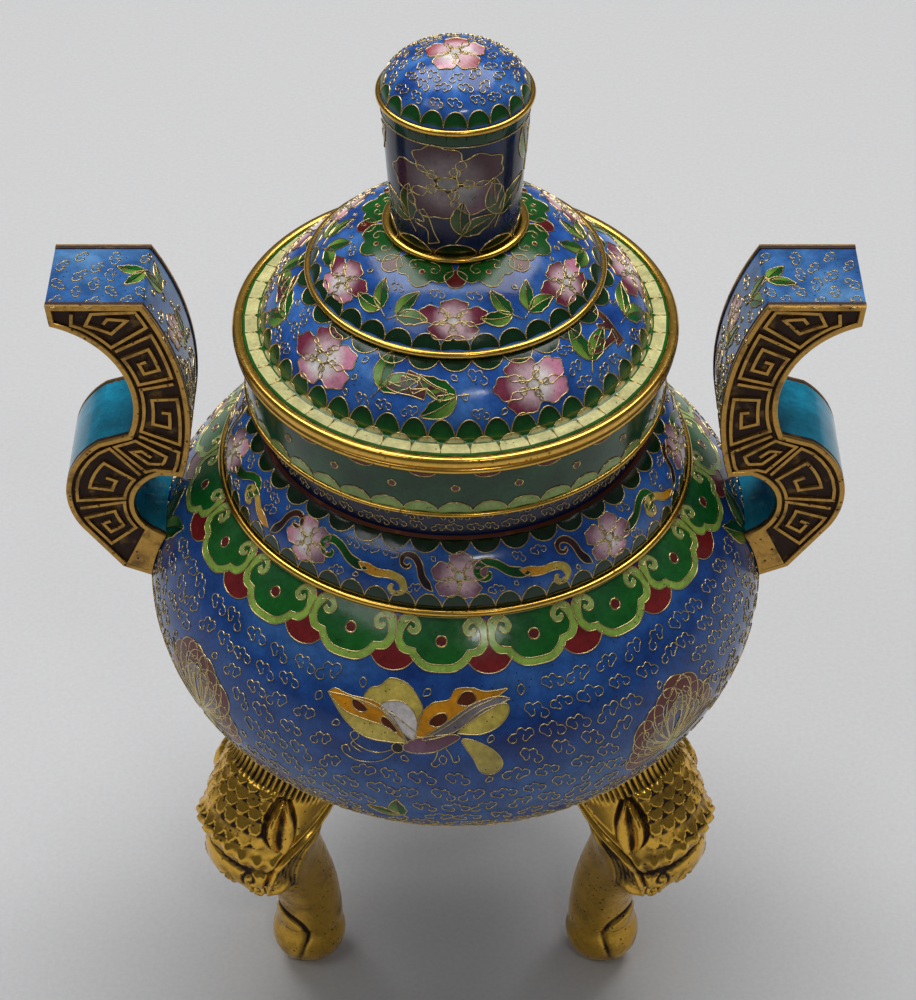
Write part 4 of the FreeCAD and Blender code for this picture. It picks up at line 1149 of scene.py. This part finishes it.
def node_outline(node, y):
    """Outline (x, z) of the flat face of a CAD node that lies at y, anticlockwise as seen from the front."""
    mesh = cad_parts[node].data
    ahead = {}
    for polygon in mesh.polygons:
        corners = [mesh.vertices[i].co / MM for i in polygon.vertices]
        if all(abs(c.y - y) < 0.02 for c in corners):
            ids = [(round(c.x, 3), round(c.z, 3)) for c in corners]
            for a, b in zip(ids, ids[1:] + ids[:1]):
                ahead[(a, b)] = True
    following = {a: b for a, b in ahead if (b, a) not in ahead}
    start = next(iter(following))
    loop, at = [start], following[start]
    while at != start:
        loop.append(at)
        at = following[at]
    loop = np.array(loop)
    area = np.sum(loop[:, 0] * np.roll(loop[:, 1], -1) - loop[:, 1] * np.roll(loop[:, 0], -1))
    return loop if area > 0 else loop[::-1]


def stretch(loop, start, end):
    """The part of a loop from the vertex nearest start on to the one nearest end."""
    first = np.linalg.norm(loop - np.array(start), axis=1).argmin()
    rolled = np.roll(loop, -first, 0)
    last = np.linalg.norm(rolled - np.array(end), axis=1).argmin()
    return rolled[: last + 1]


def lengths(chain):
    return np.concatenate([[0], np.cumsum(np.linalg.norm(np.diff(chain, axis=0), axis=1))])


def on_chain(chain, s):
    own = lengths(chain)
    return np.stack([np.interp(s, own, chain[:, 0]), np.interp(s, own, chain[:, 1])], -1)


def nearest_s(chain, point):
    dense = np.linspace(0, lengths(chain)[-1], 800)
    return dense[np.linalg.norm(on_chain(chain, dense) - np.array(point), axis=1).argmin()]


def mitred(points, distance, closed):
    """The points moved sideways by distance, to the left of their direction."""
    before, after = np.roll(points, 1, 0), np.roll(points, -1, 0)
    into, out = points - before, after - points
    if not closed:
        into[0], out[-1] = out[0], into[-1]
    into /= np.maximum(np.linalg.norm(into, axis=1), 1e-9)[:, None]
    out /= np.maximum(np.linalg.norm(out, axis=1), 1e-9)[:, None]
    side_in, side_out = (np.stack([-d[:, 1], d[:, 0]], 1) for d in (into, out))
    middle = side_in + side_out
    middle /= np.maximum(np.linalg.norm(middle, axis=1), 1e-6)[:, None]
    stretch_by = 1 / np.maximum((middle * side_in).sum(1), 0.45)
    return points + middle * (distance * stretch_by)[:, None]


class Plate:
    """Flat work on one side plate: (x, z) outlines raised along Y."""

    def __init__(self, mirror, side):
        self.mesh, self.mirror, self.side = Mesh(), mirror, side
        self.flip = mirror * side > 0

    def add(self, flat_rows, faces, colour):
        """flat_rows are (points, height above the jar's middle plane) pairs."""
        verts = []
        for points, height in flat_rows:
            points = np.asarray(points)
            level = np.full(len(points), self.side * height)
            verts.append(np.stack([self.mirror * points[:, 0], level, points[:, 1]], 1))
        faces = np.asarray(faces)
        self.mesh.add(np.concatenate(verts), faces[:, ::-1] if self.flip else faces, colour)

    def prism(self, outline, low, high, colour):
        flat, faces = slab(outline)
        self.add([(flat, high), (flat, low)], faces, colour)

    def band(self, outline, width, low, high, colour):
        """Raised border along the inside of a closed outline."""
        rows = [
            (0, low), (0, high - 0.15), (0.15, high), (width - 0.15, high), (width, high - 0.15), (width, low)
        ]
        flat = [(mitred(outline, d, True), h) for d, h in rows]
        self.add(flat, ring_faces(len(rows), len(outline), True), colour)

    def ribbon(self, path, width, low, high, colour):
        """Raised line along an open path."""
        rows = [(0.5 * width, low), (0.36 * width, high), (-0.36 * width, high), (-0.5 * width, low)]
        sides = [mitred(path, d, False) for d, _ in rows]
        count = len(path)
        index = np.arange(4 * count).reshape(4, count)
        faces = []
        for k in range(4):
            a, b = index[k], index[(k + 1) % 4]
            faces.append(np.stack([a[:-1], b[:-1], b[1:], a[1:]], 1))
        ends = [index[::-1, 0], index[:, -1]]
        faces = np.concatenate(faces + [np.array(ends)])[:, ::-1]
        self.add([(p, h) for p, (_, h) in zip(sides, rows)], faces[:, ::-1], colour)


FRET_KEY = [
    (0.02, 0.0), (0.02, 1.0), (0.90, 1.0), (0.90, 0.0), (0.24, 0.0), (0.24, 0.74), (0.69, 0.74), (0.69, 0.28),
    (0.46, 0.28), (0.46, 0.50),
]


def fret_plate(plate, loop, low, high):
    """Recessed plate with a raised border and a run of squared spirals."""
    left = stretch(loop, EAR_TIP, FRET_LINES[-1][0])
    right = stretch(loop, FRET_LINES[-1][1], EAR_TIP_UNDER)[::-1]
    plate.prism(loop, low, high - FRET_DEPTH, np.full(3, 0.0))
    plate.band(loop, FRET_BORDER, high - FRET_DEPTH - 0.02, high, np.full(3, 0.95))
    foot = stretch(loop, FRET_LINES[-1][0], FRET_LINES[-1][1])
    plate.prism(mitred(foot, 0.4, True), high - FRET_DEPTH, high - 0.08, np.full(3, 0.85))
    for k in range(len(FRET_LINES) - 1):
        (la, ra), (lb, rb) = FRET_LINES[k], FRET_LINES[k + 1]
        left_range = nearest_s(left, la), nearest_s(left, lb)
        right_range = nearest_s(right, ra), nearest_s(right, rb)
        key = []
        for a, b in zip(FRET_KEY, FRET_KEY[1:]):
            for t in np.linspace(0, 1, 7)[:-1]:
                key.append((a[0] + (b[0] - a[0]) * t, a[1] + (b[1] - a[1]) * t))
        key.append(FRET_KEY[-1])
        path = []
        for along, across in key:
            if k % 2:
                across = 1 - across
            p = on_chain(left, left_range[0] + along * (left_range[1] - left_range[0]))
            q = on_chain(right, right_range[0] + along * (right_range[1] - right_range[0]))
            span = np.linalg.norm(q - p)
            edge = min(0.3, 2.05 / max(span, 1e-6))
            path.append(p + (q - p) * (edge + across * (1 - 2 * edge)))
        plate.ribbon(np.array(path), FRET_LINE, high - FRET_DEPTH - 0.02, high - 0.06, np.full(3, 0.9))


def strip_ground(mesh, strip, half_width, colour_of):
    """Closed enamel strip."""
    rows = int(strip.length / GROUND_STEP) + 1
    along = np.linspace(0, strip.length, rows)
    across = np.linspace(-half_width, half_width, 15)
    order = [(x, GROUND_LIFT) for x in across] + [(x, SUNK) for x in across[::-1]]
    lines = [(np.stack([np.full(rows, x), along], 1), lift) for x, lift in order]
    verts = np.stack([strip.place(0, 0, line, lift) for line, lift in lines], 1)
    colours = np.array([[colour_of(x / 30, s) for x, _ in order] for s in along])
    columns = len(order)
    first = np.arange(columns)
    ends = [first[::-1], first + (rows - 1) * columns]
    mesh.add(verts.reshape(-1, 3), ring_faces(rows, columns), colours.reshape(-1, 3), ends)


def ear_strip_art(side, mirror, loop, half_width):
    """Enamel on the ear's lid side and top, with clouds and sprays of leaves."""
    face = stretch(loop, EAR_TIP, EAR_HEEL)[::-1]
    dense = on_chain(face, np.linspace(0, lengths(face)[-1], 120))
    strip = Strip(dense * np.array([mirror, 1]), -mirror)
    art = Art(strip)
    sky = blues(BLUE_DEEP * GREYER, BLUE * GREYER * 1.15, BLUE_LIGHT * GREYER * 1.1)
    strip_ground(art.cells, strip, half_width, sky)
    bend = strip.length - (EAR_TIP[0] - EAR_BEND[0])
    for up, lean, size in ((0.5, 1.9, 0.85), (-5.5, 1.2, 0.95), (-17.0, 1.9, 1.0), (-29.0, 1.3, 0.9)):
        leaf_pair(art, strip.side * 1.5, bend + up, size, lean)
    for s in (bend - 12.0, bend - 24.0):
        cells, wires = blossom_parts(3.8, 0.4 + s, 5, (WHITE, PINK, PLUM), 1.0, int(s * 7))
        place_parts(art, -strip.side * 2.8, s, cells, wires)
    width = 2 * half_width - 1.0
    art.clouds(1.0, strip.length - 0.6, random.Random(17), 4.1, 1.6, width, -width / 2)
    art.pieces(f"ear_{side}_inner", "vessel", "blue_enamel", "_cells")


def ears():
    low, high = box_mm("ear_right_front_plate")
    face_y, back_y = abs(low[1]), abs(high[1])
    loop = mitred(node_outline("ear_right_front_plate", -face_y), 0.01, True)
    for side, mirror in (("right", 1), ("left", -1)):
        for which, facing in (("front", -1), ("rear", 1)):
            part = f"ear_{side}_{which}"
            plate = Plate(mirror, facing)
            fret_plate(plate, loop, back_y, face_y)
            plate.mesh.piece(
                part + "_fret", FRET_GILT, "vessel", "gilt_fretwork", (part + "_plate",), corner=35
            )
        ear_strip_art(side, mirror, loop, back_y)


# ---------------------------------------------------------------- the legs

# stations down a leg's centre line: distance from the axis, height, half-width
LEG_STATIONS = [
    (36.5, 79.0, 11.6), (39.2, 68.0, 11.8), (43.0, 60.5, 12.1), (46.0, 54.0, 12.6), (46.9, 47.6, 12.3),
    (45.2, 41.8, 10.4), (42.2, 36.0, 8.3), (39.7, 30.0, 7.3), (38.0, 24.0, 6.9), (37.2, 18.0, 6.8),
(37.0, 14.0, 6.9), ]
FOOT_BALL = (37.4, 7.8, 7.7)
LEG_TURNS = {"leg_left": 210.0, "leg_right": 330.0, "leg_back": 90.0}
SCALE_PITCH, SCALE_ROW = 3.0, 2.3
# from the belly's middle to its wall, roughly, and how far the leg's head goes into the enamel
BELLY_REACH, LEG_SUNK = 50.0, 0.35


def leg_lines(step=0.32):
    """Even samples down the leg's centre line: position, direction and radius."""
    stations = curve([s[:2] for s in LEG_STATIONS], closed=False, step=step)
    heights = [s[1] for s in LEG_STATIONS][::-1]
    radii = np.interp(stations[:, 1], heights, [s[2] for s in LEG_STATIONS][::-1])
    for _ in range(30):
        radii[1:-1] = (radii[:-2] + radii[1:-1] * 2 + radii[2:]) / 4
    r, z, ball = FOOT_BALL
    start = stations[-1][1]
    lift = np.linspace(start, 0, int(start / step) + 1)[1:]
    ball_r = np.sqrt(np.maximum(ball**2 - (lift - z) ** 2, 0.01))
    shaft_r = np.interp(lift, (0, z, start), (3.0, 5.6, radii[-1]))
    below_r = (ball_r**9 + shaft_r**9) ** (1 / 9)
    below = np.stack([np.interp(lift, (z, start), (r, stations[-1][0])), lift], 1)
    line = np.concatenate([stations, below])
    return line, np.concatenate([radii, below_r])


def bump_at(x, centre, width):
    return np.exp(-(((x - centre) / width) ** 2))


def rise(x, width):
    """0 well below zero and 1 well above it."""
    return 1 / (1 + np.exp(-np.clip(x / width, -30, 30)))


def scale_height(across, down):
    """Overlapping scales with round free edges, in counts of scales and rows; each rises towards its edge."""
    height, done = np.zeros_like(across), np.zeros(across.shape, bool)
    for back in (2, 1, 0):
        row = np.floor(down) - back
        shift = (row % 2) * 0.5
        beside = across - shift - np.round(across - shift)
        reach = (down - row) / (1 + 0.7 * np.sqrt(np.clip(1 - 4 * beside**2, 0, 1)))
        hit = (reach < 1) & ~done
        height = np.where(hit, 0.1 + 0.9 * reach**2, height)
        done |= hit
    return height


def leg_relief(side, height, radius, outside):
    """Relief of the beast's head over the plain leg, and how dirty each place is.

    side is the angle from the outward direction, height the level of the centre line and outside the
    distance from the belly's wall.
    """
    a = np.abs(side)
    arc = a * radius
    # scaly forehead
    forehead = rise(0.98 - a, 0.05) * rise(height - 51.5, 0.4) * rise(outside - 7.6, 0.3)
    scales = scale_height(side * radius / SCALE_PITCH, (70 - height) / SCALE_ROW)
    relief = forehead * (0.85 * scales - 0.05)
    grime = forehead * 0.8 * (scales < 0.27)
    # fine hair between the collar and the head, and down the leg's back
    hair_zone = (1 - forehead) * rise(outside - 2.0, 0.15) * rise(8.4 + 0.6 * np.cos(2.2 * a) - outside, 0.4)
    hair = np.cos(side * radius * TAU / 1.35)
    relief += hair_zone * (0.30 * hair - 0.35)
    grime += hair_zone * (0.28 - 0.38 * hair)
    relief += 0.35 * rise(2.0 - outside, 0.12)
    front = rise(1.22 - a, 0.08)
    # brow: a row of lumps over a deep line, then the muzzle
    brow = bump_at(height, 50.4 + 1.2 * np.cos(2.4 * a), 1.3)
    relief += front * brow * (1.5 + 0.45 * np.cos(arc * TAU / 3.1))
    line = bump_at(height, 47.8 + 1.1 * np.cos(2.4 * a), 0.5)
    relief -= front * line * 1.0
    grime += front * line * 0.9
    muzzle = bump_at(height, 44.6 + 0.8 * np.cos(2.2 * a), 2.2)
    relief += front * muzzle * 1.6
    mouth = bump_at(height, 41.3 + 0.7 * np.cos(5.0 * a) + 0.5 * a, 0.45)
    relief -= front * mouth * 1.3
    grime += front * mouth * 1.0
    chin = bump_at(height, 38.6 + 0.4 * np.cos(3 * a), 1.5)
    relief += front * chin * 2.1
    under = bump_at(height, 35.2, 1.1)
    relief -= front * under * 0.7
    grime += front * under * 0.6
    # curls on the muzzle
    for curl_a, curl_h, turns in ((0.34, 44.6, 1.3), (0.80, 45.6, 1.5), (0.56, 39.4, 1.1), (1.02, 42.0, 1.2)):
        reach = np.hypot((a - curl_a) * radius, height - curl_h)
        phase = np.arctan2(height - curl_h, (a - curl_a) * radius)
        wave = np.cos(reach * TAU / turns - phase)
        ring = rise(1.9 - reach, 0.15)
        relief += front * ring * 0.38 * wave
        grime += front * ring * 0.40 * (wave < -0.2)
    # ear: a pointed leaf, hollow down its middle
    lean = arc - 16.6 + 0.36 * (height - 53.0)
    along = np.clip((height - 52.5) / 10.5, 0, 1)
    half = 2.7 * np.sin(math.pi * along**0.75) ** 0.85
    ear = rise(half - np.abs(lean), 0.12) * (along > 0) * (along < 1)
    hollow = np.clip(1 - np.abs(lean + 0.2) / (0.55 * half + 0.1), 0, 1)
    relief += ear * (2.3 - 1.5 * hollow)
    grime += ear * 0.35 * (hollow > 0.55)
    around = bump_at(np.abs(lean) - half, 0.75, 0.45) * (along > 0) * (along < 1)
    relief -= 0.7 * around
    grime += 0.8 * around
    # cheek ridges that sweep up and back round a deep hollow
    ridge_level = 36.0 + (a - 0.60) * 15.5
    behind = rise(a - 0.85, 0.05) * rise(2.75 - a, 0.1)
    for offset, tall in ((0.0, 1.2), (3.0, 0.7)):
        relief += tall * bump_at(height, ridge_level + offset, 0.8) * behind
    between = bump_at(height, ridge_level + 1.6, 0.4) * behind
    relief -= 0.5 * between
    pit = rise(ridge_level - 1.3 - height, 0.35) * rise(height - ridge_level + 10.5, 0.8)
    pit = pit * rise(a - 1.30, 0.06) * rise(2.25 - a, 0.08)
    relief -= pit * (1.3 + 0.25 * np.cos((height - ridge_level) * TAU / 2.1))
    grime += 0.75 * between + 0.85 * pit
    # toe: a lobe on the outward side with a crease round it
    lobe = np.hypot(arc / 7.0, (height - 10.5) / 8.6)
    relief += 0.7 * rise(1 - lobe, 0.06)
    crease = bump_at(lobe, 1.0, 0.09) * rise(height - 6, 1.5)
    relief -= 0.7 * crease
    return relief, grime + 0.7 * crease


def leg_mesh():
    """The leg in its own plane: x away from the axis, y across, z up."""
    line, radii = leg_lines()
    direction = np.gradient(line, axis=0)
    direction /= np.linalg.norm(direction, axis=1)[:, None]
    out = np.stack([-direction[:, 1], direction[:, 0]], 1)
    columns = 288
    side = (np.arange(columns) / columns * 2 - 1) * math.pi
    side_grid, height = np.meshgrid(side, line[:, 1])
    radius = np.repeat(radii[:, None], columns, 1)

    def surface(relief):
        reach = radius + relief
        forward = reach * np.cos(side_grid)
        return np.stack(
            [
                line[:, :1] + forward * out[:, :1], reach * np.sin(side_grid),
                line[:, 1:] + forward * out[:, 1:]
            ], -1
        )

    belly_low, belly_high = box_mm("belly_enamel")
    middle = box_mm("bowl_upper_copper")[0][2]
    wide, deep = belly_high[0], middle - belly_low[2]

    def share_of_belly(p):
        """1 on the belly's wall, less inside it and more outside."""
        return np.sqrt((p[..., 0] ** 2 + p[..., 1] ** 2) / wide**2 + ((p[..., 2] - middle) / deep) ** 2)

    plain_leg = surface(np.zeros_like(radius))
    outside = (share_of_belly(plain_leg) - 1) * BELLY_REACH
    relief, grime = leg_relief(side_grid, height, radius, outside)
    level = plain_leg[..., 2]
    relief = relief * np.clip(level / 2.5, 0, 1)
    made = surface(relief)
    size = share_of_belly(made)[..., None]
    centre = np.array([0, 0, middle])
    seat = 1 - LEG_SUNK / BELLY_REACH
    made = np.where(size < seat, centre + (made - centre) * (seat / np.maximum(size, 1e-6)), made)
    made[..., 2] = np.maximum(made[..., 2], 0.0)
    soft = relief.copy()
    for _ in range(5):
        soft = (soft + np.roll(soft, 1, 1) + np.roll(soft, -1, 1)) / 3
        soft[1:-1] = (soft[:-2] + soft[1:-1] + soft[2:]) / 3
    clean = np.clip(0.84 + (relief - soft) * 2.2 - grime, 0, 1)
    return made, clean


def legs():
    """Each leg is one closed tube, capped inside the belly and under the foot."""
    made, clean = leg_mesh()
    rows, columns = made.shape[:2]
    ring = np.arange(columns)
    after = (ring + 1) % columns
    last, top, sole = (rows - 1) * columns, rows * columns, rows * columns + 1
    caps = np.concatenate([
        np.stack([ring, after, np.full(columns, top)], 1),
        np.stack([after + last, ring + last, np.full(columns, sole)], 1),
    ])
    shades = np.concatenate([clean.ravel(), clean[0].mean(keepdims=True), clean[-1].mean(keepdims=True)])
    for node, degrees in LEG_TURNS.items():
        c, s = math.cos(math.radians(degrees)), math.sin(math.radians(degrees))
        x, y = made[..., 0] * c - made[..., 1] * s, made[..., 0] * s + made[..., 1] * c
        verts = np.stack([x, y, made[..., 2]], -1)
        middles = [verts[0].mean(0), verts[-1].mean(0)]
        mesh = Mesh()
        tube = np.concatenate([verts.reshape(-1, 3), middles])
        mesh.add(tube, ring_faces(rows, columns)[:, ::-1], np.repeat(shades[:, None], 3, 1), caps)
        mesh.piece(node + "_casting", CAST_GILT, "vessel", "gilt_casting", (node,), corner=None)


# ---------------------------------------------------------------- setting


def area_light(name, place, aim, size, watts, colour=(1, 1, 1)):
    data = bpy.data.lights.new(name, "AREA")
    data.shape = "RECTANGLE"
    data.size, data.size_y = size
    data.energy = watts
    data.color = colour
    light = bpy.data.objects.new(name, data)
    light.location = place
    light.rotation_euler = (Vector(aim) - Vector(place)).to_track_quat("-Z", "Y").to_euler()
    bpy.context.scene.collection.objects.link(light)


def floor():
    mesh = bpy.data.meshes.new("floor")
    half = 2.5
    corners = [(-half, -half, 0), (half, -half, 0), (half, half, 0), (-half, half, 0)]
    mesh.from_pydata(corners, [], [(0, 1, 2, 3)])
    made, tree, shader, coords = material("pale_paper")
    tone = ramp(tree, noise_node(tree, coords, 900.0, 4.0), 0.3, 0.7, 0.0, 1.0)
    tree.links.new(mix(tree, tone, (0.60, 0.60, 0.605), (0.65, 0.65, 0.655)), shader.inputs["Base Color"])
    shader.inputs["Roughness"].default_value = 0.75
    mesh.materials.append(made)
    plane = bpy.data.objects.new("floor", mesh)
    bpy.context.scene.collection.objects.link(plane)


def camera():
    """The camera looks down at 42 degrees from 525 mm away."""
    elevation, distance = math.radians(42.0), 0.525
    target = Vector((0, 0, 0.1192))
    data = bpy.data.cameras.new("camera")
    data.lens = 94.1
    data.sensor_width = 36
    data.shift_x = 0.0025
    data.clip_start = 0.01
    made = bpy.data.objects.new("camera", data)
    made.location = target + Vector((0, -math.cos(elevation), math.sin(elevation))) * distance
    made.rotation_euler = (math.pi / 2 - elevation, 0, 0)
    bpy.context.scene.collection.objects.link(made)
    bpy.context.scene.camera = made


def setting():
    floor()
    camera()
    area_light("ceiling", (0.0, 0.42, 1.30), (0, 0, 0.08), (1.5, 0.8), 18.6, (1.0, 1.0, 1.0))
    area_light("window", (-0.55, -0.50, 1.15), (0, 0, 0.10), (0.5, 0.35), 1.4, (0.97, 0.99, 1.0))
    area_light("lamp", (0.16, -0.62, 0.86), (0, 0, 0.13), (0.14, 0.05), 0.55, (1.0, 0.98, 0.95))
    world = bpy.data.worlds.new("studio")
    bpy.context.scene.world = world
    world.use_nodes = True
    background = world.node_tree.nodes["Background"]
    background.inputs["Color"].default_value = (0.86, 0.88, 0.90, 1)
    background.inputs["Strength"].default_value = 0.13
    bpy.context.scene.view_settings.view_transform = "Standard"


def inner_parts():
    """CAD nodes that stay as they are, with their metals and enamels."""
    dress({name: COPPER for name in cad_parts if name.endswith("_copper")})
    dress({name: LINING for name in ("bowl_lining", "lid_lining")})
    dress({name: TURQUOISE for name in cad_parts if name.endswith(("outer_enamel", "eye_enamel"))})
    hardware = ("studs", "washers", "nuts", "stud", "washer", "nut", "core", "spigot")
    dress({name: DULL_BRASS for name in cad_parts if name.endswith(hardware)})


def main():
    shape = {name: Turned(points) for name, points in profiles().items()}
    belly_art(shape["belly"])
    shoulder_art(shape["shoulder"])
    neck_art(shape["neck"])
    collar_art(shape["collar"])
    lid_lower_art(shape["lid_lower"])
    lid_upper_art(shape["lid_upper"])
    knob_art(shape["knob"])
    cap_art(shape["cap"])
    gilt_rings()
    ears()
    legs()
    inner_parts()
    setting()


main()
